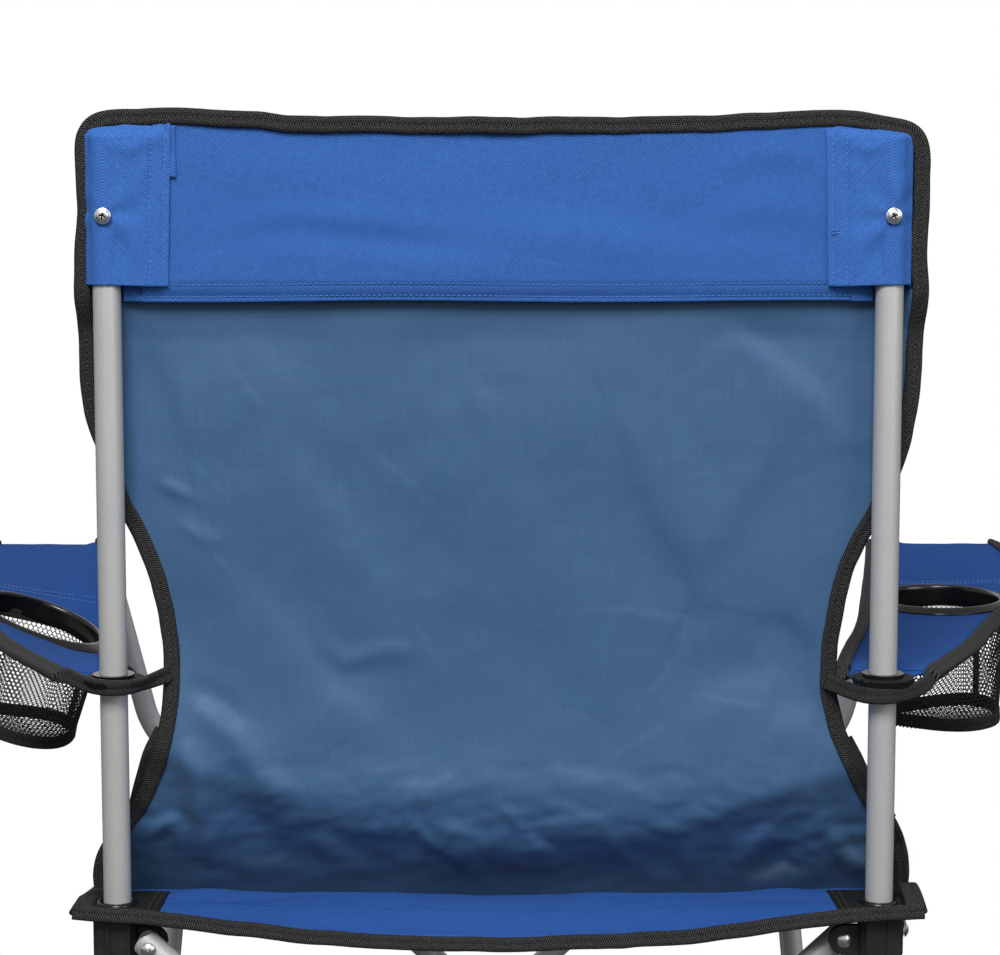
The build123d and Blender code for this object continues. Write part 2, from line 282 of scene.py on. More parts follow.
def stitches(name, paths, normal, mat, pitch=3.0, length=2.2, r=0.3, lift=0.12):
    """Rows of separate thread stitches lying on cloth."""
    verts, faces = [], []
    ring = 6
    for pts, nrm in [(p, normal) if not isinstance(p, tuple) else p for p in paths]:
        P, s = resample(pts, pitch)
        T = unit(np.gradient(P, axis=0))
        nrm = np.asarray(nrm, float)
        if nrm.ndim == 1:
            nrm = np.repeat(nrm[None], len(P), 0)
        else:
            f = np.linspace(0, len(nrm) - 1, len(P))
            nrm = np.stack([np.interp(f, np.arange(len(nrm)), nrm[:, k]) for k in range(3)], 1)
        N = unit(nrm - (nrm * T).sum(1, keepdims=True) * T)
        B = np.cross(T, N)
        for c, t, n, b in zip(P, T, N, B):
            base = len(verts)
            for x, rr, dz in ((-0.5, 0.25, -0.25), (-0.3, 1.0, 0.0), (0.3, 1.0, 0.0), (0.5, 0.25, -0.25)):
                for k in range(ring):
                    a = 2 * math.pi * k / ring
                    verts.append(c + t * x * length + (n * math.sin(a) + b * math.cos(a)) * r * rr + n * (lift + dz * r))
            for q in range(3):
                for k in range(ring):
                    k2 = (k + 1) % ring
                    faces.append((base + q * ring + k, base + q * ring + k2, base + (q + 1) * ring + k2, base + (q + 1) * ring + k))
            faces.append(tuple(base + k for k in range(ring))[::-1])
            faces.append(tuple(base + 3 * ring + k for k in range(ring)))
    uv = np.zeros((len(verts), 2))
    return fix_normals(make(name, verts, faces, [mat], uv))


# --------------------------------------------------------------- materials
def nodes_of(name):
    m = bpy.data.materials.new(name)
    m.use_nodes = True
    nt = m.node_tree
    b = nt.nodes["Principled BSDF"]
    return m, nt, b


class Net:
    """Small helper for building node trees."""

    def __init__(self, nt):
        self.nt = nt

    def n(self, kind, **kw):
        node = self.nt.nodes.new(kind)
        for k, v in kw.items():
            setattr(node, k, v)
        return node

    def link(self, a, b):
        self.nt.links.new(a, b)

    def math(self, op, a, b=None, c=None):
        node = self.n("ShaderNodeMath", operation=op)
        for i, v in enumerate((a, b, c)):
            if v is None:
                continue
            if isinstance(v, (int, float)):
                node.inputs[i].default_value = v
            else:
                self.link(v, node.inputs[i])
        return node.outputs[0]

    def ramp(self, fac, stops):
        node = self.n("ShaderNodeValToRGB")
        el = node.color_ramp.elements
        while len(el) < len(stops):
            el.new(0.5)
        for e, (p, c) in zip(el, stops):
            e.position = p
            e.color = (*c, 1) if len(c) == 3 else c
        self.link(fac, node.inputs[0])
        return node.outputs[0]

    def mix(self, fac, a, b, blend="MIX"):
        node = self.n("ShaderNodeMix", data_type="RGBA", blend_type=blend)
        for sock, v in ((node.inputs[0], fac), (node.inputs[6], a), (node.inputs[7], b)):
            if isinstance(v, (int, float)):
                sock.default_value = v
            elif isinstance(v, tuple):
                sock.default_value = (*v, 1)
            else:
                self.link(v, sock)
        return node.outputs[2]

    def noise(self, vec, scale, detail=3.0, rough=0.55, dist=0.0):
        node = self.n("ShaderNodeTexNoise")
        node.inputs["Scale"].default_value = scale
        node.inputs["Detail"].default_value = detail
        node.inputs["Roughness"].default_value = rough
        node.inputs["Distortion"].default_value = dist
        self.link(vec, node.inputs["Vector"])
        return node.outputs["Fac"]

    def bump(self, height, dist, strength=1.0, normal=None):
        node = self.n("ShaderNodeBump")
        node.inputs["Distance"].default_value = dist
        node.inputs["Strength"].default_value = strength
        self.link(height, node.inputs["Height"])
        if normal is not None:
            self.link(normal, node.inputs["Normal"])
        return node.outputs[0]


def canvas_material(name, color, dark, light, chevron=False, pitch=0.00125, bump=0.00022, rough=0.78, slant=1.0):
    """Twill-woven polyester. Its diagonal runs with the cloth's own (u, v)."""
    m, nt, b = nodes_of(name)
    k = Net(nt)
    uv = k.n("ShaderNodeUVMap", uv_map="cloth").outputs[0]
    sep = k.n("ShaderNodeSeparateXYZ")
    k.link(uv, sep.inputs[0])
    u, v = sep.outputs[0], sep.outputs[1]
    obj = k.n("ShaderNodeTexCoord").outputs["Object"]
    fine = k.noise(obj, 420.0, 2.0)
    wob = k.math("MULTIPLY", k.math("SUBTRACT", k.noise(obj, 60.0, 2.0), 0.5), 0.0006)
    uu = u
    if chevron:
        uu = k.math("ABSOLUTE", u)
    diag = k.math("ADD", k.math("ADD", uu, k.math("MULTIPLY", v, slant)), wob)
    wave = k.math("SINE", k.math("MULTIPLY", diag, 2 * math.pi / (pitch * 1.414)))
    # threads across the diagonal break each twill line into short floats
    cross = k.math("SINE", k.math("MULTIPLY", k.math("SUBTRACT", u, v), 2 * math.pi / (pitch * 1.1)))
    h = k.math("ADD", k.math("MULTIPLY", wave, 0.36), k.math("MULTIPLY", cross, 0.10))
    h = k.math("ADD", k.math("ADD", h, 0.5), k.math("MULTIPLY", k.math("SUBTRACT", fine, 0.5), 0.5))
    tone = k.ramp(h, [(0.18, dark), (0.5, color), (0.85, light)])
    big = k.noise(obj, 9.0, 4.0, 0.6)
    tone = k.mix(k.math("MULTIPLY", k.math("SUBTRACT", big, 0.4), 0.5), tone, tuple(c * 0.72 for c in color), "MIX")
    fade = k.noise(obj, 28.0, 5.0, 0.7)
    tone = k.mix(k.ramp(fade, [(0.55, (0, 0, 0)), (0.8, (0.18, 0.18, 0.18))]), tone, tuple(min(1, c * 1.25 + 0.01) for c in color))
    k.link(tone, b.inputs["Base Color"])
    rg = k.ramp(h, [(0.1, (rough + 0.1,) * 3), (0.9, (rough - 0.08,) * 3)])
    k.link(rg, b.inputs["Roughness"])
    k.link(k.bump(h, bump), b.inputs["Normal"])
    b.inputs["Specular IOR Level"].default_value = 0.06
    return m


def coated_material(name, color):
    """The coated reverse of the polyester: a satin film over fine threads."""
    m, nt, b = nodes_of(name)
    k = Net(nt)
    uv = k.n("ShaderNodeUVMap", uv_map="cloth").outputs[0]
    sep = k.n("ShaderNodeSeparateXYZ")
    k.link(uv, sep.inputs[0])
    u, v = sep.outputs[0], sep.outputs[1]
    obj = k.n("ShaderNodeTexCoord").outputs["Object"]
    st = k.n("ShaderNodeMapping")
    st.inputs["Scale"].default_value = (900, 900, 30)
    k.link(obj, st.inputs["Vector"])
    threads = k.noise(st.outputs[0], 1.0, 2.0, 0.6)
    st2 = k.n("ShaderNodeMapping")
    st2.inputs["Scale"].default_value = (22, 22, 700)
    k.link(obj, st2.inputs["Vector"])
    weft = k.noise(st2.outputs[0], 1.0, 1.0, 0.5)
    cloudy = k.noise(obj, 11.0, 5.0, 0.62, 0.6)
    # fine white crinkles where the film has been folded
    vo = k.n("ShaderNodeTexVoronoi", feature="DISTANCE_TO_EDGE")
    vo.inputs["Scale"].default_value = 17.0
    warp = k.n("ShaderNodeMapping")
    warp.inputs["Rotation"].default_value = (0.0, 0.55, 0.0)
    warp.inputs["Scale"].default_value = (1.4, 1.0, 0.55)
    k.link(obj, warp.inputs["Vector"])
    k.link(warp.outputs[0], vo.inputs["Vector"])
    line = k.ramp(vo.outputs["Distance"], [(0.0, (1, 1, 1)), (0.012, (0, 0, 0))])
    some = k.ramp(k.noise(obj, 14.0, 3.0), [(0.56, (0, 0, 0)), (0.7, (1, 1, 1))])
    crinkle = k.math("MULTIPLY", line, some)
    h = k.math("ADD", k.math("MULTIPLY", threads, 0.7), k.math("MULTIPLY", weft, 0.3))
    tone = k.ramp(h, [(0.2, tuple(c * 0.86 for c in color)), (0.8, tuple(min(1, c * 1.12) for c in color))])
    tone = k.mix(k.math("MULTIPLY", cloudy, 0.3), tone, tuple(c * 0.8 for c in color))
    # painted shade: the film's colour is darkened by its height above the seat's plane, most along its lowest seam,
    # standing in for the shade there
    hz = k.n("ShaderNodeSeparateXYZ")
    k.link(obj, hz.inputs[0])
    up_ = k.math("ADD", k.math("SUBTRACT", hz.outputs[2], ZG / 1000), k.math("MULTIPLY", k.math("SUBTRACT", cloudy, 0.5), 0.02))
    painted_shade_low = k.ramp(k.math("MULTIPLY", up_, 10.0), [(0.05, (0.36,) * 3), (0.16, (0.44,) * 3), (0.30, (0.80,) * 3), (0.42, (1.0,) * 3)])
    tone = k.mix(1.0, tone, painted_shade_low, "MULTIPLY")
    tone = k.mix(k.math("MULTIPLY", crinkle, 0.16), tone, tuple(min(1, c * 1.6 + 0.02) for c in color))
    k.link(tone, b.inputs["Base Color"])
    rg = k.ramp(cloudy, [(0.3, (0.50,) * 3), (0.7, (0.60,) * 3)])
    k.link(rg, b.inputs["Roughness"])
    hh = k.math("ADD", k.math("MULTIPLY", h, 0.25), k.math("MULTIPLY", crinkle, 0.5))
    n1 = k.bump(k.noise(obj, 38.0, 4.0, 0.55, 0.8), 0.0009, 0.5)
    k.link(k.bump(hh, 0.00012, 1.0, n1), b.inputs["Normal"])
    b.inputs["Specular IOR Level"].default_value = 0.45
    b.inputs["Sheen Weight"].default_value = 0.08
    return m


def tape_material(name, lo=(0.002, 0.002, 0.0021), hi=(0.08, 0.08, 0.079), pitch=0.0014):
    """Ribbed polyester tape: ribs lean one way on each side of the stitch line."""
    m, nt, b = nodes_of(name)
    k = Net(nt)
    uv = k.n("ShaderNodeUVMap", uv_map="cloth").outputs[0]
    sep = k.n("ShaderNodeSeparateXYZ")
    k.link(uv, sep.inputs[0])
    u, v = sep.outputs[0], sep.outputs[1]
    obj = k.n("ShaderNodeTexCoord").outputs["Object"]
    lean = k.math("MULTIPLY", k.math("ABSOLUTE", v), 0.55)
    rib = k.math("SINE", k.math("MULTIPLY", k.math("ADD", u, lean), 2 * math.pi / pitch))
    thread = k.math("SINE", k.math("MULTIPLY", v, 2 * math.pi / 0.0011))
    grain = k.noise(obj, 900.0, 2.0)
    h = k.math("ADD", k.math("ADD", k.math("MULTIPLY", rib, 0.34), k.math("MULTIPLY", thread, 0.12)), 0.5)
    h = k.math("ADD", h, k.math("MULTIPLY", k.math("SUBTRACT", grain, 0.5), 0.7))
    tone = k.ramp(h, [(0.28, lo), (0.62, tuple((a + c) / 2.2 for a, c in zip(lo, hi))), (0.95, hi)])
    worn = k.noise(obj, 30.0, 4.0, 0.65)
    tone = k.mix(k.ramp(worn, [(0.5, (0, 0, 0)), (0.85, (0.3, 0.3, 0.3))]), tone, (0.035, 0.035, 0.035))
    k.link(tone, b.inputs["Base Color"])
    k.link(k.ramp(h, [(0.2, (0.9,) * 3), (0.9, (0.62,) * 3)]), b.inputs["Roughness"])
    k.link(k.bump(h, 0.0005), b.inputs["Normal"])
    b.inputs["Specular IOR Level"].default_value = 0.22
    return m


def plain_black(name, base, rough, grain=1400.0, bump=0.00006, spec=0.4, coat=0.0, var=0.35):
    """Moulded plastic: fine spark texture, slight scuffing and tone changes."""
    m, nt, b = nodes_of(name)
    k = Net(nt)
    obj = k.n("ShaderNodeTexCoord").outputs["Object"]
    g = k.noise(obj, grain, 3.0, 0.6)
    w = k.noise(obj, 45.0, 5.0, 0.65)
    tone = k.ramp(w, [(0.3, tuple(c * (1 - var) for c in base)), (0.75, tuple(c * (1 + var) for c in base))])
    k.link(tone, b.inputs["Base Color"])
    k.link(k.ramp(w, [(0.3, (max(0.04, rough - 0.07),) * 3), (0.8, (rough + 0.1,) * 3)]), b.inputs["Roughness"])
    k.link(k.bump(g, bump), b.inputs["Normal"])
    b.inputs["Specular IOR Level"].default_value = spec
    b.inputs["Coat Weight"].default_value = coat
    b.inputs["Coat Roughness"].default_value = 0.12
    return m


def paint_material(name, base):
    """Silver-grey powder coat: slight orange peel, tiny flake, dull rub marks."""
    m, nt, b = nodes_of(name)
    k = Net(nt)
    obj = k.n("ShaderNodeTexCoord").outputs["Object"]
    peel = k.noise(obj, 520.0, 3.0, 0.55)
    flake = k.noise(obj, 2600.0, 1.0, 0.5)
    rub = k.noise(obj, 24.0, 5.0, 0.7)
    tone = k.ramp(flake, [(0.3, tuple(c * 0.9 for c in base)), (0.7, tuple(min(1, c * 1.1) for c in base))])
    tone = k.mix(k.ramp(rub, [(0.55, (0, 0, 0)), (0.8, (0.25, 0.25, 0.25))]), tone, tuple(c * 0.8 for c in base))
    k.link(tone, b.inputs["Base Color"])
    k.link(k.ramp(rub, [(0.3, (0.4,) * 3), (0.8, (0.52,) * 3)]), b.inputs["Roughness"])
    k.link(k.bump(peel, 0.00005), b.inputs["Normal"])
    b.inputs["Metallic"].default_value = 0.35
    b.inputs["Specular IOR Level"].default_value = 0.4
    return m


def metal_material(name, base, rough, brushed=False):
    m, nt, b = nodes_of(name)
    k = Net(nt)
    obj = k.n("ShaderNodeTexCoord").outputs["Object"]
    w = k.noise(obj, 260.0, 4.0, 0.65)
    s = k.noise(obj, 1500.0, 2.0, 0.5)
    tone = k.ramp(w, [(0.3, tuple(c * 0.82 for c in base)), (0.7, base)])
    k.link(tone, b.inputs["Base Color"])
    k.link(k.ramp(w, [(0.3, (rough,) * 3), (0.75, (rough + 0.12,) * 3)]), b.inputs["Roughness"])
    k.link(k.bump(s, 0.00002), b.inputs["Normal"])
    b.inputs["Metallic"].default_value = 1.0
    return m


def thread_material(name, base):
    m, nt, b = nodes_of(name)
    k = Net(nt)
    obj = k.n("ShaderNodeTexCoord").outputs["Object"]
    g = k.noise(obj, 1800.0, 2.0)
    k.link(k.ramp(g, [(0.3, tuple(c * 0.75 for c in base)), (0.7, tuple(min(1, c * 1.2) for c in base))]), b.inputs["Base Color"])
    k.link(k.bump(g, 0.00008), b.inputs["Normal"])
    b.inputs["Roughness"].default_value = 0.6
    return m


BLUE = (0.040, 0.132, 0.43)
M_HEADER = canvas_material("canvas_header", BLUE, (0.024, 0.086, 0.30), (0.066, 0.19, 0.565))
M_POCKET = canvas_material("canvas_pocket", tuple(c * 1.18 for c in BLUE), (0.026, 0.09, 0.31), (0.07, 0.20, 0.59), chevron=True)
M_CANVAS = canvas_material("canvas_plain", (0.028, 0.098, 0.35), (0.020, 0.076, 0.28), (0.042, 0.135, 0.45), slant=-1.0, rough=0.9)
# painted shade: the armrests' canvas is a darker copy of the plain canvas, standing in for the dimmer light on their
# flat tops
M_ARM_SHADED = canvas_material("canvas_armrest_shaded", (0.0225, 0.074, 0.268), (0.016, 0.058, 0.22), (0.034, 0.105, 0.355), slant=-1.0, rough=0.9)
M_COATED = coated_material("coated_reverse", (0.045, 0.121, 0.252))
M_TAPE = tape_material("ribbed_tape")
M_PATCH = canvas_material("black_patch", (0.016, 0.016, 0.0165), (0.008, 0.008, 0.008), (0.03, 0.03, 0.03), rough=0.6)
M_NET = plain_black("black_net_thread", (0.012, 0.012, 0.012), 0.62, grain=900.0, bump=0.0001)
M_PLASTIC = plain_black("black_moulding", (0.022, 0.022, 0.0225), 0.42)
M_GLOSS = plain_black("black_gloss", (0.006, 0.006, 0.0065), 0.2, grain=300.0, bump=0.00001, spec=0.4, coat=0.2)
M_PAINT = paint_material("silver_powder_coat", (0.56, 0.56, 0.555))
M_RIVET = metal_material("rivet_steel", (0.86, 0.86, 0.86), 0.22)
M_SCREW = metal_material("screw_plated", (0.95, 0.95, 0.95), 0.24)
M_THREAD = thread_material("blue_thread", (0.075, 0.20, 0.56))
M_THREAD_B = thread_material("black_thread", (0.03, 0.03, 0.03))

SLOT_MATERIAL = {"frame_grey": M_PAINT, "black_plastic": M_PLASTIC, "gloss_black": M_GLOSS, "rivet_steel": M_RIVET,
                 "screw_chrome": M_SCREW, "blue_canvas": M_CANVAS, "coated_fabric": M_COATED, "black_binding": M_TAPE, "black_net": M_NET}
for sp in frame["record"]["subparts"]:
    o = frame["nodes"][sp["node"]]
    mat = SLOT_MATERIAL[sp["material_slot"]]
    if not o.data.materials:
        o.data.materials.append(mat)
    for s in o.material_slots:
        s.material = mat


def done(obj, body, slot, squash=None):
    """squash is (anchor x, keep) along X with the fold; here it only gives the object its own copy of its mesh, and
    nothing is squashed.
    """
    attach(obj, body)
    if squash:
        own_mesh(obj)
    return obj


FOLDED = 70.0 / 444.0     # folded over open spacing of the posts
SQ = (POST, FOLDED)

# ---------------------------------------------------------------- back panel
# Centre line of the binding on each side, from the seat's corner to the top.
INNER_L = [(203.3, 61.6), (195.4, 79.7), (189.1, 100.7), (185.9, 124.7), (186, 154.6), (189.2, 178.4), (195.3, 202.1), (203.7, 222.8), (213.5, 240)]
INNER_R = [(213.0, 60.0), (204.2, 79.1), (193.8, 100.2), (188.1, 124.3), (188.9, 154.2), (192.1, 178), (197.6, 201.8), (205, 219.5), (214.5, 234)]
OUTER_L = [(230.0, 262.5), (234.7, 275), (239, 292), (240.3, 309), (240.6, 326.5), (240.5, 343.7), (240.7, 357.7), (240.1, 374.4), (239.4, 391), (238.0, 403.5),
           (238.1, 415.9), (238.9, 429.3), (239.4, 441.5), (238.2, 451.5), (232.5, 459.5), (223.0, 462.0), (214.1, 462.8), (186, 464), (164.5, 462.8), (134.5, 461.3)]
OUTER_R = [(232.6, 256.5), (238.1, 271.6), (241.4, 291.8), (243.1, 314.8), (244.1, 337.8), (244.4, 358.4), (243.4, 375), (243.5, 399.8), (243.6, 416.3), (243.8, 436),
           (242.6, 448.5), (238.0, 454.6), (226.8, 457.6), (208.7, 460.8), (193.1, 462.9), (165, 461.6), (136.4, 460.1)]
WIDE = 9.6


def shifted(pts, d):
    pts = np.array(pts, float)
    t = unit(np.gradient(pts, axis=0))
    return pts + np.stack([t[:, 1], -t[:, 0]], -1) * d


def rounded(pts, step=4.0, rounds=10):
    pts = np.array(pts, float)
    q, _ = resample(np.concatenate([pts, np.zeros((len(pts), 1))], 1), step)
    return relax(q, rounds)[:, :2]


# travelling upward, the outside of the left edge lies to the right of the path
LOW_L = [(239.0, -3), (240.0, 6), (238.5, 15), (234.0, 26), (227.5, 35.5), (219.5, 45.0), (212.5, 54.0)]
LOW_R = [(242.0, -3), (243.5, 7), (242.0, 20), (238.0, 33), (231.5, 45.5), (223.5, 54.5), (217.8, 61.0)]
SIDE_L = np.concatenate([LOW_L, shifted(INNER_L, WIDE / 2), shifted(OUTER_L, -WIDE / 2)])
SIDE_R = np.concatenate([LOW_R, shifted(INNER_R, WIDE / 2), shifted(OUTER_R, -WIDE / 2)])
RUN_L, RUN_R = rounded(SIDE_L, 4.0, 3), rounded(SIDE_R, 4.0, 3)


def cloth_edge(run):
    run = run[run[:, 1] < 372]
    return [(z, x) for x, z in run]


EDGE_L, EDGE_R = cloth_edge(RUN_L), cloth_edge(RUN_R)
PANEL_Y = [(-6, 167), (4, 170), (16, 175), (28, 181.5), (42, 190), (54, 196.5), (68, 200.3), (84, 201.6), (110, 202.0), (150, 202.5), (200, 204.5), (260, 206.5), (320, 208.8), (366, 209.8)]
RIDGE = [(-200, 96), (-192, 92), (-160, 86), (-132, 70), (-110, 59), (-72, 57), (-30, 47), (0, 45), (46, 50), (90, 62), (143, 81), (184, 106), (200, 112)]


def panel_point(x, z):
    """y of the hanging panel at (x, z), z from the seat plane, all arrays."""
    y = smooth_table(z + 5.0 * smoothstep(120, 70, z), PANEL_Y, 4, 3.0)
    zr = smooth_table(x, RIDGE, 4, 5.0) - 14.0
    d = z - zr
    y = y + np.where(d > 0, 6.0 * np.exp(-((d / 42.0) ** 2)), 6.0 * np.exp(-((d / 13.0) ** 2)))
    y = y - 4.0 * smoothstep(5, 40, -d) * smoothstep(0, 22, z)
    p = np.stack([x, np.zeros_like(x), z], -1)
    low = smoothstep(110, 20, z)
    tight = smoothstep(-2, 16, z)
    y = y + low * tight * (3.0 * value_noise(p * np.array([1, 1, 1.9]), 60.0, 3) + 1.3 * value_noise(p * np.array([1, 1, 1.6]), 22.0, 5))
    # crisp folds where the slack gathers above the seat
    y = y + smoothstep(95, 40, z) * tight * (3.4 * np.abs(value_noise(p * np.array([1, 1, 1.5]) + 31.0, 42.0, 17, 2)) + 1.2 * np.abs(value_noise(p * np.array([1, 1, 1.3]) + 7.0, 17.0, 23, 2)))
    y = y + (1 - low) * 1.1 * np.abs(value_noise(p * np.array([1.0, 1, 0.8]) + 5.0, 70.0, 29, 2))
    y = y + (1 - low) * (2.6 * value_noise(p * np.array([1.0, 1, 0.7]), 95.0, 8, 2) + 0.5 * value_noise(p * np.array([1.0, 1, 0.8]), 30.0, 9, 2))
    e = np.where(x > 0, np.interp(z, *zip(*sorted(EDGE_L))), np.interp(z, *zip(*sorted(EDGE_R))))
    quiet = smoothstep(0, 16, e - np.abs(x))
    for pts, amp, w, kind in CREASES:
        y = y + 1.25 * crease(x, z, pts, amp, w, kind) * quiet
    return y


CREASES = [
    ([(132, 290), (103, 251), (80, 219), (52, 172)], 1.3, 9, "step"),
    ([(150, 345), (114, 306), (76, 272)], 1.0, 11, "step"),
    ([(152, 196), (119, 162), (99, 129), (70, 111), (66, 88)], 1.4, 8, "step"),
    ([(-64, 290), (-88, 233), (-111, 192), (-119, 168), (-108, 152)], -1.5, 8, "step"),
    ([(-178, 292), (-152, 248), (-129, 210), (-116, 186)], 1.3, 9, "step"),
    ([(106, 168), (101, 153), (90, 144), (64, 150), (42, 150)], 1.2, 6, "ridge"),
    ([(-100, 108), (-130, 126), (-162, 135), (-188, 115)], 1.2, 9, "step"),
    ([(-158, 116), (-188, 110)], 1.5, 8, "step"),
    ([(176, 122), (152, 98), (141, 78), (115, 62)], 2.6, 9, "ridge"),
    ([(187, 100), (177, 73), (173, 33), (172, 0)], 5.0, 8, "ridge"),
    ([(158, 88), (150, 60), (140, 36), (128, 20)], -3.0, 12, "ridge"),
    ([(58, 56), (40, 33), (20, 18)], 1.6, 4, "ridge"),
    ([(0, 60), (-22, 33), (-36, 19)], 1.6, 4, "ridge"),
    ([(-62, 44), (-73, 26), (-92, 12)], 1.8, 4, "ridge"),
    ([(-70, 28), (-52, 14)], 1.4, 4, "ridge"),
    ([(-194, 45), (-204, 23), (-221, 12)], 4.0, 6, "ridge"),
    ([(-165, 40), (-147, 24), (-139, 15)], 4.5, 7, "ridge"),
    ([(-176, 24), (-150, 8)], -3.0, 8, "ridge"),
    ([(210, 38), (193, 46), (189, 24)], 3.0, 5, "ridge"),
    ([(118, 40), (96, 22), (70, 12)], 2.2, 7, "ridge"),
    ([(30, 30), (8, 12)], 1.8, 6, "ridge"),
    ([(-120, 40), (-112, 20), (-118, 6)], 2.2, 7, "ridge"),
    ([(182, 132), (160, 118), (150, 104)], -1.6, 7, "ridge"),
    ([(-186, 150), (-170, 168), (-150, 172)], 1.0, 5, "step"),
    ([(-150, 330), (-186, 300), (-204, 268)], 1.4, 7, "step"),
    ([(-130, 340), (-160, 322)], 1.0, 5, "step"),
    ([(196, 330), (186, 290), (180, 262)], -1.2, 7, "step"),
    ([(196, 250), (176, 240)], 1.3, 4, "ridge"),
    ([(186, 226), (160, 212)], 1.0, 5, "ridge"),
    ([(32, 255), (44, 215), (50, 180)], 0.7, 6, "step"),
    ([(10, 262), (20, 318)], 0.6, 5, "step"),
]

nz, nx = 176, 236
zz = np.linspace(-4, 361.5, nz)
el, er = smooth_table(zz, EDGE_L, 2, 1.0), smooth_table(zz, EDGE_R, 2, 1.0)
s = np.linspace(0, 1, nx)
X = -er[None, :] + (er + el)[None, :] * s[:, None]
Z = np.repeat(zz[None, :], nx, 0)
Y = panel_point(X, Z)
Y = Y + (211.4 - Y) * smoothstep(330, 354, Z)
Y = Y + (221.0 - Y) * smoothstep(335, 362, Z) * smoothstep(226, 237, np.abs(X))
Z = Z - 5.0 * (1 - smoothstep(60, 235, np.abs(X))) * (1 - smoothstep(-4, 40, Z))
P = np.stack([X, Y, Z + ZG], -1)
# u runs to +X and v up, so du x dv faces -Y, the sitter's side
UV = np.stack([X, Z], -1) / 1000
panel = shell("back_panel_cloth", P, 0.9, [M_CANVAS, M_COATED], UV)
done(panel, ROOT, "coated_fabric", SQ)
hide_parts("back_panel")

def edge_y(x, z):
    """y of the bound edge: on the panel below, on the header's rear face above."""
    return panel_point(np.asarray(x, float), np.asarray(z, float)) * (1 - smoothstep(335, 362, z)) + 221.6 * smoothstep(335, 362, z)


mid_top = [(x, 458.4 - WIDE / 2 + 0.9 * (x / 130.0) ** 2) for x in np.linspace(120, -120, 40)]
run = np.concatenate([RUN_L, mid_top, np.stack([-RUN_R[:, 0], RUN_R[:, 1]], -1)[::-1]])
run = rounded(run, 3.0, 2)
sway = np.array([[noise.fractal(Vector((k_ / 9.0, 3.3, 0)), 1, 2, 3), noise.fractal(Vector((k_ / 9.0, 9.1, 0)), 1, 2, 3)] for k_ in range(len(run))])
run = run + sway * np.array([0.7, 0.9])
bx, bz = run[:, 0], run[:, 1]
by = edge_y(bx, bz) + 0.5
by = by + 0.8 * np.array([noise.fractal(Vector((a / 40.0, b / 40.0, 2.0)), 1, 2, 3) for a, b in zip(bx, bz)])
t = tape("back_edge_binding", np.stack([bx, by, bz + ZG], -1), (0, 1, 0), WIDE, 3.8, M_TAPE, wobble=0.25, seed=5, rounds=2, groove=0.5)
done(t, ROOT, "black_binding", SQ)
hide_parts("back_binding")
# stitches along its middle
st = stitches("back_edge_stitches", [np.stack([bx, by + 1.75, bz + ZG], -1)], (0, 1, 0), M_THREAD_B, pitch=3.2, length=2.2, r=0.32, lift=0.1)
done(st, ROOT, "black_binding", SQ)
# the tape's loose second fold where it turns inward above the seat
for tag, sx, pts in (("left", 1, [(197, 104), (204, 90), (211, 68), (215.5, 52), (222, 41)]), ("right", -1, [(204, 97), (213, 82), (221, 65), (227, 56), (233, 46)])):
    pts = rounded(pts, 2.0, 4)
    y = panel_point(sx * pts[:, 0], pts[:, 1]) + 1.5
    y = y - 1.6 - 3.4 * np.sin(np.linspace(0, math.pi, len(y))) - 2.0 * smoothstep(0.3, 0.0, np.linspace(0, 1, len(y)))
    t = tape("binding_fold_" + tag, np.stack([sx * pts[:, 0], y, pts[:, 1] + ZG], -1), (sx * 0.5, 0.85, 0), 9.0, 2.6, M_TAPE, wobble=0.4, seed=6,
             turn=[(0, 0), (0.3, 28), (0.7, 34), (1, 0)])
    done(t, ROOT, "black_binding", SQ)

# ------------------------------------------------------------------- header
TOP_L = [(240.0, 446), (238, 450), (232, 455.5), (224, 459.5), (214, 461.8), (186, 463.4), (165, 462.4), (135, 460.8), (60, 459.2), (0, 458.2), (-60, 458.8),
         (-136, 460.1), (-170, 462), (-193, 462.9), (-209, 460.5), (-227, 456.5), (-239, 451.5), (-243, 446)]
TOP_Z = [(x, z) for x, z in TOP_L]


def top_edge(x):
    return smooth_table(x, TOP_Z, 4, 2.0)


def header_y(x, z):
    """Rear surface of the middle of the header."""
    p = np.stack([x, np.zeros_like(x), z], -1)
    y = 221.0 + 1.2 * value_noise(p * np.array([0.5, 1, 1.5]), 70.0, 21, 2)
    y = y + crease(x, z, [(158, 397), (120, 404), (60, 398), (20, 394)], 1.5, 8, "ridge")
    y = y + crease(x, z, [(150, 384), (110, 391), (60, 384), (-10, 378)], 1.2, 7, "step")
    y = y + crease(x, z, [(60, 412), (10, 400), (-60, 398), (-120, 390)], 1.1, 9, "step")
    y = y + crease(x, z, [(-120, 432), (-160, 440), (-190, 430)], 1.3, 9, "ridge")
    y = y + crease(x, z, [(-188, 402), (-150, 408), (-120, 400)], 1.1, 8, "ridge")
    return y


nzh, nxh = 84, 250
s = np.linspace(-1, 1, nxh)
X = np.repeat((s * 203)[:, None], nzh, 1)
low = 354.5
f = np.linspace(0, 1, nzh)
topz = top_edge(X[:, 0]) - 6.5
Z = low + (topz - low)[:, None] * f[None, :]
Z = Z + np.where(f[None, :] < 0.2, 0.5 * np.sin(X / 37.0), 0)
Y = header_y(X, Z)
Y = Y - 2.2 * smoothstep(366, 355, Z)
for zs in (357.6, 364.4):
    Y = Y - 0.7 * np.exp(-(((Z - zs) / 1.1) ** 2))
P = np.stack([X, Y, Z + ZG], -1)
head = shell("header_middle_cloth", P, 1.2, [M_CANVAS, M_HEADER], np.stack([X, Z], -1) / 1000)
SQH = (200.0, 26.0 / 400.0)
done(head, ROOT, "blue_canvas", SQH)
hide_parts("back_header")

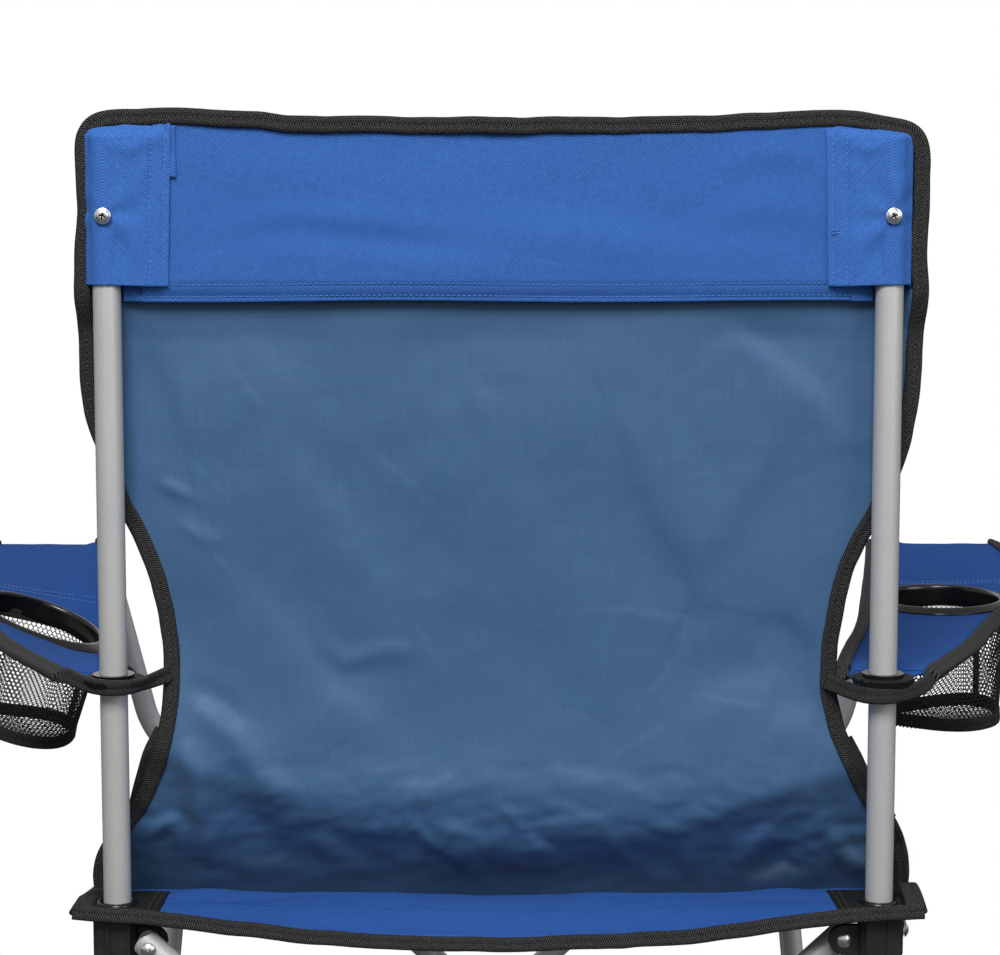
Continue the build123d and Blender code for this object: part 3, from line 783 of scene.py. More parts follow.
rows = []
for zs in (357.6, 364.4):
    xs = np.linspace(-200, 200, 160)
    zrow = np.full_like(xs, zs) + 0.5 * np.sin(xs / 37.0)
    yrow = header_y(xs, zrow) - 2.2 * smoothstep(366, 355, zrow) + 0.3
    rows.append(np.stack([xs, yrow + 0.25, zrow + ZG], -1))
st = stitches("header_hem_stitches", rows, (0, 1, 0), M_THREAD)
done(st, ROOT, "blue_canvas", SQH)

# front layer of the header, between the two posts and the sitter
X = np.repeat((s * 238)[:, None], nzh, 1)
topz = top_edge(X[:, 0]) - 4.0
Z = 354.6 + (topz - 354.6)[:, None] * f[None, :]
p = np.stack([X, np.zeros_like(X), Z], -1)
Y = 212.4 + 1.4 * (1 - smoothstep(190, 222, np.abs(X))) * smoothstep(362, 385, Z) + 0.5 * value_noise(p, 80.0, 31, 2) * smoothstep(360, 380, Z)
Y = np.where(np.abs(X) > 228, Y + (np.abs(X) - 228) * 0.55, Y)
P = np.stack([X, Y, Z + ZG], -1)
front = shell("header_front_cloth", P, 1.0, [M_CANVAS, M_HEADER], np.stack([X, Z], -1) / 1000)
done(front, ROOT, "blue_canvas", SQ)

# ends of the header's hem, under the pockets
for tag, sx, body in (("left", 1, ROOT), ("right", -1, RIGHT_BODY)):
    a, b = np.meshgrid(np.linspace(0, 1, 16), np.linspace(0, 1, 12), indexing="ij")
    XXg, ZZg = 200.5 + 12.8 * a, 354.5 + 10.4 * b
    P = np.stack([sx * XXg, 218.9 - 1.0 * a + 0.3 * np.sin(3 * b), ZZg + ZG], -1)
    if sx < 0:
        P = P[::-1]
    o = shell("header_hem_end_" + tag, P, 1.0, [M_CANVAS, M_HEADER], np.stack([sx * XXg, ZZg], -1) / 1000)
    done(o, body, "blue_canvas")

# pockets round the posts: from the flap's edge, over the post, to the outer edge
for tag, sx, body in (("left", 1, ROOT), ("right", -1, RIGHT_BODY)):
    np_, nq = 96, 96
    a = np.linspace(0, 1, np_)
    xx = 187.0 + (233.6 - 187.0) * a                          # distance from the middle
    zlo, fq = 363.6, np.linspace(0, 1, nq)
    XX = np.repeat(xx[:, None], nq, 1)
    base = YP + 0.9 + 0 * xx
    wrap = RT + 1.6
    over = YP + np.sqrt(np.clip((RT + 0.75) ** 2 - (xx - POST) ** 2, 0, None)) * (np.abs(xx - POST) < RT + 0.7)
    # taut from the flap's edge to the post, round it, and in to the binding
    yb = np.maximum(np.interp(xx, [187, 216.5, 222, 227.0, 231.5, 235], [222.9, 229.6, 230.8, 229.4, 224.6, 221.4]), over)
    for _ in range(6):
        yb[1:-1] = np.maximum((yb[:-2] + 2 * yb[1:-1] + yb[2:]) / 4, over[1:-1])
    ztop = np.interp(xx, [187, 196, 205, 214, 222, 230, 234, 237.5], [455.5, 455.5, 455.5, 455.0, 455.0, 453.0, 449, 445])
    if sx < 0:
        ztop = np.interp(xx, [187, 196, 205, 214, 222, 230, 234, 237.5], [454, 454, 453.5, 452.5, 451.5, 450.5, 448, 445])
    ZZ = zlo + (ztop - zlo)[:, None] * fq[None, :] + 0.5 * np.sin(XX / 11.0) * (1 - fq)[None, :]
    YY = np.repeat(yb[:, None], nq, 1)
    p = np.stack([sx * XX, np.zeros_like(XX), ZZ], -1)
    YY = YY + smoothstep(0, 0.12, a)[:, None] * 0.7 * value_noise(p * np.array([1, 1, 0.5]), 26.0, 41 + sx, 3)
    # pulls around the screw, and the loose mouth at the top
    r = np.hypot(XX - POST, ZZ - (mid("pocket_screw_left")[2] - ZG))
    YY = YY - 0.5 * np.exp(-((r / 6.5) ** 2))
    ang = np.arctan2(ZZ - (mid("pocket_screw_left")[2] - ZG), XX - POST)
    YY = YY + 0.55 * np.cos(5 * ang + sx) * np.exp(-(((r - 13) / 9.0) ** 2))
    YY = YY + crease(XX, ZZ, [(222, 398), (212, 388), (204, 374)], -1.1, 4, "step")
    YY = YY + crease(XX, ZZ, [(206, 446), (201, 430), (205, 412)], 0.9, 4, "ridge")
    fold = crease(XX, ZZ, [(192, 446), (208, 440), (222, 444)], 1.0, 4, "ridge") + crease(XX, ZZ, [(228, 446), (224, 436), (226, 424)], -1.0, 4, "ridge")
    YY = YY + fold
    YY = np.maximum(YY, np.repeat(over[:, None], nq, 1) * (ZZ < 449))
    roof = smoothstep(0, 1, (ZZ - 446.5) / np.maximum(ztop[:, None] - 446.5, 2.0))
    YY = YY * (1 - roof) + (221.7 + 0.7 * np.sin(XX / 3.3 + sx)) * roof
    # the flap's edge leans a little towards the middle at its top
    XX = XX - 0.027 * (ZZ - zlo) * np.clip((205 - XX) / 18.0, 0, 1)
    for xs_ in (189.8, 197.4):
        YY = YY - 0.6 * np.exp(-(((XX + 0.02 * (ZZ - zlo) - xs_) / 1.0) ** 2))
    P = np.stack([sx * XX, YY, ZZ + ZG], -1)
    # u grows outward; flip for the right so the rear face keeps material 1
    UV = np.stack([XX - POST, ZZ], -1) / 1000
    if sx < 0:
        P, UV = P[::-1], UV[::-1]
    pk = shell("header_pocket_cloth_" + tag, P, 1.1, [M_CANVAS, M_POCKET], UV)
    done(pk, body, "blue_canvas")
    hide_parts("header_pocket_" + tag)
    lines = []
    for xs_ in (189.8, 197.4):
        zs_ = np.linspace(365, 452, 60)
        yi = np.interp(xs_, xx, yb) + 0.3
        yz = yi + 0 * zs_
        for pos_, zq_ in enumerate(zs_):
            col = int(np.argmin(np.abs(xx - xs_)))
            yz[pos_] = np.interp(zq_, ZZ[col], YY[col]) + 0.45
        lines.append(np.stack([sx * (xs_ - 0.02 * (zs_ - zlo)) + 0.25 * np.sin(zs_ / 9), yz, zs_ + ZG], -1))
    st = stitches("pocket_stitches_" + tag, lines, (0, 1, 0), M_THREAD)
    done(st, body, "blue_canvas")

a, b = np.meshgrid(np.linspace(181.8, 188.0, 8), np.linspace(424.5, 453.5, 26), indexing="ij")
P = np.stack([a, 222.6 + 0.5 * np.sin(b / 6.0) + 0.02 * (188 - a), b + ZG], -1)
o = shell("header_flap_end", P, 0.9, [M_CANVAS, M_HEADER], np.stack([a, b], -1) / 1000)
done(o, ROOT, "blue_canvas", SQH)
xs = np.linspace(-199, -189, 8)
st = stitches("pocket_bar_stitches", [np.stack([xs, 0 * xs + 225.2, 0 * xs + z_ + ZG], -1) for z_ in (393.2, 395.0)], (0, 1, 0), M_THREAD, pitch=2.4, length=2.0, r=0.4)
done(st, RIGHT_BODY, "blue_canvas")

# --------------------------------------------------------------------- seat
HINGE = 205.0
HEM = 240.5


HEM_Z = [(0, -11.6), (57, -10.2), (115, -6.8), (172, 0.4), (198, 2.6), (243, 3.2)]


def half_width(y):
    return 244.5 - 11.0 * np.cos(np.clip(np.asarray(y) / 196.0, -1, 1) * math.pi / 2)


def seat_z(x, y):
    """Height of the seat's cloth above the eyelet plane."""
    ax, ay = np.abs(x), np.abs(y)
    sag = 1.4 - 17.0 * np.cos(np.clip(y / 230.0, -1, 1) * math.pi / 2) * (0.45 + 0.55 * np.cos(np.clip(x / 243.0, -1, 1) * math.pi / 2))
    w = smoothstep(170, 240, ay)
    side = -3.0 * np.cos(np.clip(y / 205.0, -1, 1) * math.pi / 2) * smoothstep(200, 240, ax)
    return sag * (1 - w) + smooth_table(ax, HEM_Z, 4, 4.0) * w + side


def seat_grid(y0, y1, n, m, seed, amp=1.6):
    yy = np.linspace(y0, y1, m)
    xx = np.linspace(-1, 1, n)
    YYg = np.repeat(yy[None, :], n, 0)
    half = half_width(yy)
    XXg = xx[:, None] * (half[None, :] - 2.5)
    Zg = seat_z(XXg, YYg)
    p = np.stack([XXg, YYg, np.zeros_like(XXg)], -1)
    Zg = Zg + amp * value_noise(p, 85.0, seed, 3) * (1 - smoothstep(225, 243, np.abs(XXg))) + 0.5 * value_noise(p, 22.0, seed + 1, 2)
    for sx in (1, -1):
        for sy in (1, -1):
            Zg = Zg + crease(XXg, YYg, [(sx * 215, sy * 212), (sx * 150, sy * 150), (sx * 90, sy * 96)], 1.6, 9, "ridge")
            Zg = Zg + crease(XXg, YYg, [(sx * 200, sy * 216), (sx * 120, sy * 178)], -1.3, 8, "ridge")
    return XXg, YYg, Zg


for tag, sy, body_flap, body_hub in (("rear", 1, "seat_rear_flap", "rear_left_hub"), ("front", -1, "seat_front_flap", "front_left_hub")):
    y0, y1 = (-0.6, HINGE + 3) if sy > 0 else (-HINGE - 3, 0.6)
    n, m = 180, 82
    XXg, YYg, Zg = seat_grid(y0, y1, n, m, 51)
    P = np.stack([XXg, YYg, Zg + ZG], -1)
    o = shell("seat_cloth_" + tag, P, 1.4, [M_CANVAS, M_COATED], np.stack([XXg, YYg], -1) / 1000)
    done(o, body_flap, "blue_canvas", SQ)
    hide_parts("seat_" + tag)
    y0, y1 = (HINGE, HEM) if sy > 0 else (-HEM, -HINGE)
    XXg, YYg, Zg = seat_grid(y0, y1, n, 16, 51)
    P = np.stack([XXg, YYg, Zg + ZG], -1)
    o = shell("seat_hem_cloth_" + tag, P, 1.4, [M_CANVAS, M_COATED], np.stack([XXg, YYg], -1) / 1000)
    done(o, body_hub, "blue_canvas", SQ)
    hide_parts("seat_hem_" + tag)
    # binding along the hem
    xs = np.linspace(-245, 245, 220)
    z = smooth_table(np.abs(xs), [(0, -14.8), (57, -13.2), (115, -9.6), (172, -1.8), (198, 1.8), (236, 4.0), (246, 5.2)], 4, 3.0)
    z = z + 0.7 * np.array([noise.fractal(Vector((v / 30.0, 4.0 + sy, 0)), 1, 2, 3) for v in xs])
    pts = np.stack([xs, np.full_like(xs, sy * 242.0) + 0.6 * np.sin(xs / 23), z + ZG], -1)
    t = tape("seat_binding_" + tag, pts, (0, sy, 0.35), 8.6, 3.4, M_TAPE, wobble=0.4, seed=21 + sy, groove=0.5)
    done(t, body_hub, "black_binding", SQ)
    # binding along both sides of each half
    for side, sx in (("left", 1), ("right", -1)):
        yy = np.linspace(0.2, HINGE, 80) if sy > 0 else np.linspace(-HINGE, -0.2, 80)
        half = half_width(yy)
        z = seat_z(sx * half, yy)
        pts = np.stack([sx * (half - 3.2), yy, z + ZG + 0.6], -1)
        t = tape("seat_side_binding_%s_%s" % (tag, side), pts, (0, 0, 1), 12.0, 3.4, M_TAPE, wobble=0.4, seed=30 + sx + sy)
        done(t, body_flap, "black_binding", SQ)
        yy = np.linspace(HINGE, 241, 20) if sy > 0 else np.linspace(-241, -HINGE, 20)
        half = half_width(yy)
        lift = 7.0 * np.sin(np.linspace(0.5, 1.0, len(yy)) * math.pi) if (sy > 0 and sx < 0) else 0.0 * yy
        pts = np.stack([sx * (half - 3.2), yy, seat_z(sx * half, yy) + ZG + 1.2 + lift], -1)
        t = tape("seat_corner_binding_%s_%s" % (tag, side), pts, (0, 0, 1), 12.0, 3.4, M_TAPE, wobble=0.3, seed=33 + sx + sy)
        done(t, "%s_%s_hub" % (tag, side), "black_binding")

# black corner patches with their eyelets
for tag, sy in (("rear", 1), ("front", -1)):
    for side, sx in (("left", 1), ("right", -1)):
        n = m = 44
        a, b = np.meshgrid(np.linspace(0, 1, n), np.linspace(0, 1, m), indexing="ij")
        XXg = sx * (196 + 46 * a)
        YYg = sy * (186 + 55 * b)
        half = half_width(YYg)
        XXg = sx * np.minimum(np.abs(XXg), half - 2.0)
        rp_ = np.hypot(np.abs(XXg) - POST, np.abs(YYg) - YP)
        Zg = seat_z(XXg, YYg) + 1.9 - 0.5 * np.exp(-((rp_ / 17.0) ** 4)) + 0.3 * np.sin(a * 9) * np.sin(b * 7)
        P = np.stack([XXg, YYg, Zg + ZG], -1)
        if sx * sy < 0:
            P = P[::-1]
        o = shell("seat_corner_patch_%s_%s" % (tag, side), P, 1.2, [M_PATCH, M_PATCH], np.stack([XXg, YYg], -1) / 1000)
        done(o, "%s_%s_hub" % (tag, side), "black_binding")
        path = []
        for off in (2.5, 6.0):
            b1 = np.linspace(0.06, 0.92, 30)
            x_ = sx * (196 + off + 0 * b1)
            y_ = sy * (188 + 54 * b1)
            path.append(np.stack([x_, y_, seat_z(x_, y_) + 2.8 + ZG], -1))
        st = stitches("patch_stitches_%s_%s" % (tag, side), path, (0, 0, 1), M_THREAD_B, pitch=2.6, length=1.9)
        done(st, "%s_%s_hub" % (tag, side), "black_binding")

# ----------------------------------------------------------------- armrests
IN_E = {1: [(-244, 299), (-200, 288), (-148, 277), (-60, 261), (0, 252), (60, 244), (130, 234), (165, 228), (200, 214), (206, 212)],
        -1: [(-244, 285), (-200, 278), (-148, 269), (-60, 253), (0, 243), (60, 231), (130, 214), (200, 199), (206, 198)]}
OUT_E = {1: [(-244, 383), (-170, 385), (-80, 370), (-16, 352), (50, 329), (97, 311), (148, 286), (190, 264), (206, 255)],
         -1: [(-244, 383), (-170, 385), (-80, 364), (-16, 342), (50, 317), (97, 302), (148, 280), (190, 261), (206, 252)]}
ARM_Z = [(-244, 148.5), (-222, 152.5), (-170, 145.0), (-120, 139.5), (-56, 137.0), (0, 136.4), (60, 136.4), (130, 137), (206, 137.6)]


RING = {1: np.array([314.0, mid("cup_ring_left")[1]]), -1: np.array([304.0, mid("cup_ring_right")[1]])}


def arm_z(x, y, sx):
    """x is the distance from the chair's middle."""
    inn = np.interp(y, *zip(*IN_E[sx]))
    out = np.interp(y, *zip(*OUT_E[sx]))
    t = np.clip((x - inn) / (out - inn), 0, 1)
    z = smooth_table(y, ARM_Z, 4, 8.0) + ZG
    z = z - 2.4 * np.sin(math.pi * t) * np.sin(math.pi * np.clip((y + 240) / 445, 0, 1))
    if sx > 0:
        z = z + np.exp(-(((y + 45.0) / np.where(np.asarray(y) > -45.0, 120.0, 78.0)) ** 2)) * (2.0 - 43.0 * (1 - t) ** 1.15)
    else:
        z = z - 2.0 * np.exp(-(((y + 45.0) / 78.0) ** 2)) * (1 - t)
    # lifted over the arm post's end
    z = z + 4.2 * np.exp(-((np.hypot(x - 294.0, y + 222.0) / 17.0) ** 4))
    # the outer strip turns down
    return z - 3.0 * smoothstep(0.84, 0.98, t) * smoothstep(-200, -100, y)


def arm_cloth(y0, y1, n, m, sx, seed, hole=None):
    yy = np.linspace(y0, y1, m)
    inn = smooth_table(yy, IN_E[sx], 3, 6.0)
    out = smooth_table(yy, OUT_E[sx], 3, 6.0)
    tt = np.linspace(0, 1, n)
    XXg = inn[None, :] + (out - inn)[None, :] * tt[:, None]
    YYg = np.repeat(yy[None, :], n, 0)
    Zg = arm_z(XXg, YYg, sx)
    p = np.stack([sx * XXg, YYg, np.zeros_like(XXg)], -1)
    Zg = Zg + 0.8 * value_noise(p, 45.0, seed, 3) * np.clip(np.sin(math.pi * tt), 0, 1)[:, None] ** 0.5
    return XXg, YYg, Zg


from math import pi


def cup_frame(sx):
    """Centre and axes of the cup's ring, lying on the cloth round it."""
    cx_, cy_ = RING[sx]
    g = 40.0
    zc = float(np.mean([arm_z(np.array(cx_ + a), np.array(cy_ + b), sx) for a, b in ((g, 0), (-g, 0), (0, g), (0, -g))]))
    dzx = float(arm_z(np.array(cx_ + g), np.array(cy_), sx) - arm_z(np.array(cx_ - g), np.array(cy_), sx)) / (2 * g)
    dzy = float(arm_z(np.array(cx_), np.array(cy_ + g), sx) - arm_z(np.array(cx_), np.array(cy_ - g), sx)) / (2 * g)
    dzy -= 0.03 if sx > 0 else 0.0
    n_ = unit(np.array([-sx * dzx, -dzy, 1.0]))
    ex = unit(np.array([1.0, 0, 0]) - n_[0] * n_)
    return np.array([sx * cx_, cy_, zc]), ex, np.cross(n_, ex), n_


for side, sx in (("left", 1), ("right", -1)):
    # rear half
    XXg, YYg, Zg = arm_cloth(-0.5, 200.0, 60, 84, sx, 63 + sx)
    rc, _, _, rn = cup_frame(sx)
    lie = smoothstep(64, 47, np.hypot(XXg - RING[sx][0], YYg - RING[sx][1]))
    Zg = Zg * (1 - lie) + (rc[2] - (rn[0] * (sx * XXg - rc[0]) + rn[1] * (YYg - rc[1])) / rn[2] + 0.3) * lie
    for q in range(4):
        Zg = Zg + crease(XXg, YYg, [(232 + 9 * q, 190), (262 + 17 * q, 90 - 12 * q)], 1.0 - 0.15 * q, 4, "ridge")
    P = np.stack([sx * XXg, YYg, Zg], -1)
    UV = np.stack([sx * XXg, YYg], -1) / 1000
    if sx < 0:
        P, UV = P[::-1], UV[::-1]
    o = shell("armrest_rear_cloth_" + side, P, 1.5, [M_ARM_SHADED, M_COATED], UV)
    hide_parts("armrest_rear_" + side)
    done(o, "armrest_rear_%s_flap" % side, "blue_canvas")
    # front half: the grid is pushed outward round the cup's hole
    XXg, YYg, Zg = arm_cloth(-243.5, 0.5, 92, 150, sx, 63 + sx)
    RX, RY = RING[sx]
    dx, dy = XXg - RX, YYg - RY
    rr = np.hypot(dx, dy)
    R0, R1 = 42.2, 60.0
    want = np.where(rr < R1, R0 + (R1 - R0) * (rr / R1) ** 1.0, rr)
    keep = rr > 1e-6
    XXg = np.where(keep, RX + dx * want / np.maximum(rr, 1e-6), XXg)
    YYg = np.where(keep, RY + dy * want / np.maximum(rr, 1e-6), YYg)
    YYg = np.clip(YYg, -243.5, 0.5)
    lim0, lim1 = smooth_table(YYg, IN_E[sx], 3, 6.0), smooth_table(YYg, OUT_E[sx], 3, 6.0)
    XXg = np.clip(XXg, lim0, lim1)
    tq = (XXg - lim0) / (lim1 - lim0)
    Zg = arm_z(XXg, YYg, sx) + 0.8 * value_noise(np.stack([sx * XXg, YYg, 0 * XXg], -1), 45.0, 63 + sx, 3) * np.clip(np.sin(math.pi * tq), 0, 1) ** 0.5
    Zg = Zg + crease(XXg, YYg, [(282, -225), (300, -160), (300, -120)], 1.4, 7, "ridge")
    # the cloth lies on the ring's plane where the two meet
    rc, _, _, rn = cup_frame(sx)
    rd = np.hypot(XXg - RX, YYg - RY)
    lie = smoothstep(64, 47, rd)
    Zg = Zg * (1 - lie) + (rc[2] - (rn[0] * (sx * XXg - rc[0]) + rn[1] * (YYg - rc[1])) / rn[2] + 0.3) * lie
    P = np.stack([sx * XXg, YYg, Zg], -1)
    UV = np.stack([sx * XXg, YYg], -1) / 1000
    if sx < 0:
        P, UV = P[::-1], UV[::-1]
        rr = rr[::-1]
    o = shell("armrest_front_cloth_" + side, P, 1.5, [M_ARM_SHADED, M_COATED], UV)
    # drop the faces inside the hole
    import bmesh
    bm = bmesh.new()
    bm.from_mesh(o.data)
    cx_, cy_ = sx * RX / 1000, RY / 1000
    gone = [f for f in bm.faces if math.hypot(f.calc_center_median().x - cx_, f.calc_center_median().y - cy_) < 0.0429]
    bmesh.ops.delete(bm, geom=gone, context="FACES")
    # close the cut between the two layers
    edges = [e for e in bm.edges if e.is_boundary]
    bmesh.ops.bridge_loops(bm, edges=edges)
    bm.to_mesh(o.data)
    bm.free()
    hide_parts("armrest_front_" + side)
    done(o, "armrest_front_%s_flap" % side, "blue_canvas")
    # bindings: inner, outer, front
    flap_r, flap_f = "armrest_rear_%s_flap" % side, "armrest_front_%s_flap" % side
    for part, ya, yb_, flap in (("rear", 0.2, 200.0, flap_r), ("front", -243.5, -0.2, flap_f)):
        yy = np.linspace(ya, yb_, 80)
        for edge, tab, d in (("inner", IN_E[sx], 1), ("outer", OUT_E[sx], -1)):
            e = smooth_table(yy, tab, 3, 6.0)
            drop = 0.3 if edge == "outer" else 0.0
            pts = np.stack([sx * (e + d * 2.4), yy, arm_z(e + d * 2.4, yy, sx) + 0.9 - drop], -1)
            lean = 0.4 if edge == "outer" else 0.35
            t = tape("armrest_%s_%s_binding_%s" % (part, edge, side), pts, (-lean * sx * d, 0, 1), 11.0 if edge == "outer" else 9.5, 5.0 if edge == "outer" else 4.2, M_TAPE, wobble=0.4, seed=70 + sx + len(edge) + len(part))
            done(t, flap, "black_binding")
    xs = np.linspace(299 if sx > 0 else 285, 383, 40)
    pts = np.stack([sx * xs, np.full_like(xs, -242.4), arm_z(xs, np.full_like(xs, -242.0), sx) - 3.4], -1)
    t = tape("armrest_front_binding_" + side, pts, (0, -1, 0.5), 8.5, 3.2, M_TAPE, wobble=0.4, seed=77 + sx)
    done(t, flap_f, "black_binding")
    # double seam across, in front of the cup
    rows = []
    for yq in (-118.5, -124.5):
        inn, out = np.interp(yq, *zip(*IN_E[sx])) + 8, np.interp(yq, *zip(*OUT_E[sx])) - 8
        xs = np.linspace(inn, out, 60)
        rows.append(np.stack([sx * xs, np.full_like(xs, yq), arm_z(xs, np.full_like(xs, yq), sx) + 0.9], -1))
    st = stitches("armrest_stitches_" + side, rows, (0, 0, 1), M_THREAD)
    done(st, flap_f, "blue_canvas")

# ---------------------------------------------------------------- net cups
def net_cup(name, r0, r1, depth, place, sx, pitch=3.3, wire=0.42):
    """Knitted net: honeycomb cells round the wall and over the base."""
    import bmesh
    verts, edges = [], []
    around = int(round(2 * pi * (r0 + r1) / 2 / pitch / 2)) * 2
    rows_ = int(depth / (pitch * 0.80))
    grid = {}

    def point(i, j):
        key = (i % (2 * around), j)
        if key not in grid:
            a = pi * key[0] / around
            t = j / rows_
            z = -2.0 - t * (depth - 2.0)
            wav = 1 + 0.02 * math.sin(5 * a + 3 * t) * t + 0.05 * math.sin(3 * a + 1.3) * t
            r = (r0 + (r1 - r0) * t + 1.4 * math.sin(pi * t)) * wav
            grid[key] = len(verts)
            verts.append((r * math.cos(a), r * math.sin(a), z))
        return grid[key]

    # brick-shaped honeycomb: zigzag rows joined by uprights
    for j in range(rows_ + 1):
        for i in range(2 * around):
            edges.append((point(i, j), point(i + 1, j)))
    verts_arr = np.array(verts, float)
    for (i, j), k in grid.items():
        dz = 0.28 * pitch * (1 if (i + j) % 2 else -1)
        verts_arr[k, 2] += dz * 0.8
    for j in range(rows_):
        for i in range(2 * around):
            if (i + j) % 2 == 0:
                edges.append((point(i, j), point(i, j + 1)))
    verts_l = verts_arr.tolist()
    # base disc, hexagonal cells
    base = {}
    R = r1 * 0.98
    h = pitch * 0.62
    ni = int(R / (h * 1.5)) + 2
    for i in range(-ni * 2, ni * 2 + 1):
        for j in range(-ni * 2, ni * 2 + 1):
            x = i * h * 1.5
            y = (j + (0.5 if i % 2 else 0)) * h * math.sqrt(3)
            if math.hypot(x, y) > R + h:
                continue
            ring = []
            for k in range(6):
                a = pi / 3 * k
                px, py = x + h * math.cos(a), y + h * math.sin(a)
                if math.hypot(px, py) > R:
                    f_ = R / math.hypot(px, py)
                    px, py = px * f_, py * f_
                key = (round(px * 5), round(py * 5))
                if key not in base:
                    base[key] = len(verts_l)
                    rr_ = math.hypot(px, py) / R
                    an_ = math.atan2(py, px)
                    wv = 1 + (0.02 * math.sin(5 * an_ + 3) + 0.05 * math.sin(3 * an_ + 1.3)) * rr_
                    verts_l.append((px * wv, py * wv, -depth - 3.0 * (1 - rr_ ** 2)))
                ring.append(base[key])
            for a_, b_ in zip(ring, ring[1:] + ring[:1]):
                if a_ != b_:
                    edges.append((min(a_, b_), max(a_, b_)))
    edges = sorted({(min(a_, b_), max(a_, b_)) for a_, b_ in edges if a_ != b_})
    V, F = [], []
    VA = place(np.array(verts_l))
    for a_, b_ in edges:
        p, q = VA[a_], VA[b_]
        t_ = unit(q - p)
        up_ = np.array([0, 0, 1.0]) if abs(t_[2]) < 0.9 else np.array([1.0, 0, 0])
        n1 = unit(np.cross(t_, up_))
        n2 = np.cross(t_, n1)
        b0 = len(V)
        for c, ext in ((p, -0.25), (q, 0.25)):
            for k in range(4):
                an = pi / 2 * k + pi / 4
                V.append(c + t_ * ext * wire + (n1 * math.cos(an) + n2 * math.sin(an)) * wire)
        for k in range(4):
            k2 = (k + 1) % 4
            F.append((b0 + k, b0 + k2, b0 + 4 + k2, b0 + 4 + k))
        F.append((b0 + 3, b0 + 2, b0 + 1, b0))
        F.append((b0 + 4, b0 + 5, b0 + 6, b0 + 7))
    V = np.array(V)
    return make(name, V, F, [M_NET], np.zeros((len(V), 2)), smooth=False)


HANG = {1: math.radians(13.0), -1: math.radians(-3.0)}
DEEP = {1: 73.0, -1: 79.0}


def in_frame(local, c, ex, ey, ez):
    return c + local[..., 0:1] * ex + local[..., 1:2] * ey + local[..., 2:3] * ez


def lathe(name, prof, mats, c, ex, ey, ez, n=144, bulge=None):
    a = np.linspace(0, 2 * pi, n, endpoint=False)
    prof = np.array(prof, float)
    m = len(prof)
    R = prof[None, :, 0] + 0 * a[:, None]
    if bulge is not None:
        far = smoothstep(43.5, 47.5, R)
        R = R + bulge(a)[:, None] * far
    L = np.stack([R * np.cos(a)[:, None], R * np.sin(a)[:, None], np.repeat(prof[None, :, 1], n, 0)], -1)
    V = in_frame(L, c, ex, ey, ez).reshape(-1, 3)
    i, j = np.meshgrid(np.arange(n), np.arange(m), indexing="ij")
    i, j = i.ravel(), j.ravel()
    i2, j2 = (i + 1) % n, (j + 1) % m
    F = np.stack([i * m + j, i2 * m + j, i2 * m + j2, i * m + j2], 1)
    o = make(name, V, F, mats, np.zeros((len(V), 2)))
    return fix_normals(o)


RING_PROF = [(41.0, -9.0), (41.0, -4.0), (41.0, 2.0), (41.2, 3.8), (42.0, 5.0), (43.2, 5.4), (44.6, 4.9), (46.2, 3.4), (47.3, 2.4), (48.0, 1.9), (48.2, 1.2),
             (47.8, 0.9), (46.0, 0.9), (44.2, 0.9), (43.8, 0.2), (43.6, -4.0), (43.4, -9.0), (42.2, -9.6)]

for side, sx in (("left", 1), ("right", -1)):
    flap_f = "armrest_front_%s_flap" % side
    c, ex, ey, ez = cup_frame(sx)
    tip = math.atan2(0.42, -0.9) if sx > 0 else math.atan2(0.3, 0.95)
    amp = 7.0 if sx > 0 else 2.5
    bul = lambda a: amp * np.exp(-(((np.angle(np.exp(1j * (a - tip)))) / 0.22) ** 2))
    ring = lathe("cup_ring_shape_" + side, RING_PROF, [M_GLOSS], c + ez * (0.8 if sx > 0 else 0.2), ex, ey, ez, bulge=bul)
    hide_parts("cup_ring_" + side)
    done(ring, flap_f, "gloss_black")
    # the net hangs closer to the vertical than the ring's own axis
    h = HANG[sx]
    dz_ = unit(np.array([-math.sin(h), 0.0, math.cos(h)]))
    ex2 = unit(np.array([1.0, 0, 0]) - dz_[0] * dz_)
    ey2 = np.cross(dz_, ex2)

    def hung(local, c=c, ex=ex, ey=ey, ez=ez, ex2=ex2, ey2=ey2, dz_=dz_):
        """From the ring's frame at the top to the hanging frame lower down."""
        w = smoothstep(0, -30, local[..., 2])[..., None]
        return in_frame(local, c, ex, ey, ez) * (1 - w) + in_frame(local, c, ex2, ey2, dz_) * w

    V = net_cup("cup_net_" + side, 43.4, 39.5, DEEP[sx], hung, sx)
    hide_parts("cup_pocket_" + side)
    done(V, flap_f, "black_net")
    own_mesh(V)
    a = np.linspace(0, 2 * pi, 120)
    for nm, rad, zz_, wd, th in (("base", 39.9, 3.0 - DEEP[sx], 9.0, 2.6), ("rim", 44.2, -5.5, 8.0, 2.0)):
        rw = rad * (1 + 0.05 * np.sin(3 * a + 1.3))
        ringp = np.stack([rw * np.cos(a), rw * np.sin(a), np.full_like(a, zz_) + 1.6 * np.sin(2 * a + 0.7)], -1)
        out = hung(ringp)
        nn = unit(out - out.mean(0))
        t = tape("cup_%s_binding_%s" % (nm, side), out, nn, wd, th, M_TAPE, wobble=0.5, seed=80 + sx, rounds=0)
        done(t, flap_f, "black_binding")
        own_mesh(t)
    zz_ = np.linspace(-3, 2.0 - DEEP[sx], 30)
    for q, an in enumerate((0.6, 3.9)):
        rad = 43.6 - 3.7 * (-zz_ / DEEP[sx]) + 1.2 * np.sin(pi * -zz_ / DEEP[sx])
        pts = hung(np.stack([rad * math.cos(an), rad * math.sin(an), zz_], -1))
        t = tape("cup_seam_%d_%s" % (q, side), pts, (math.cos(an), math.sin(an), 0), 5.0, 1.6, M_TAPE, seed=85 + q)
        done(t, flap_f, "black_binding")
        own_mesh(t)

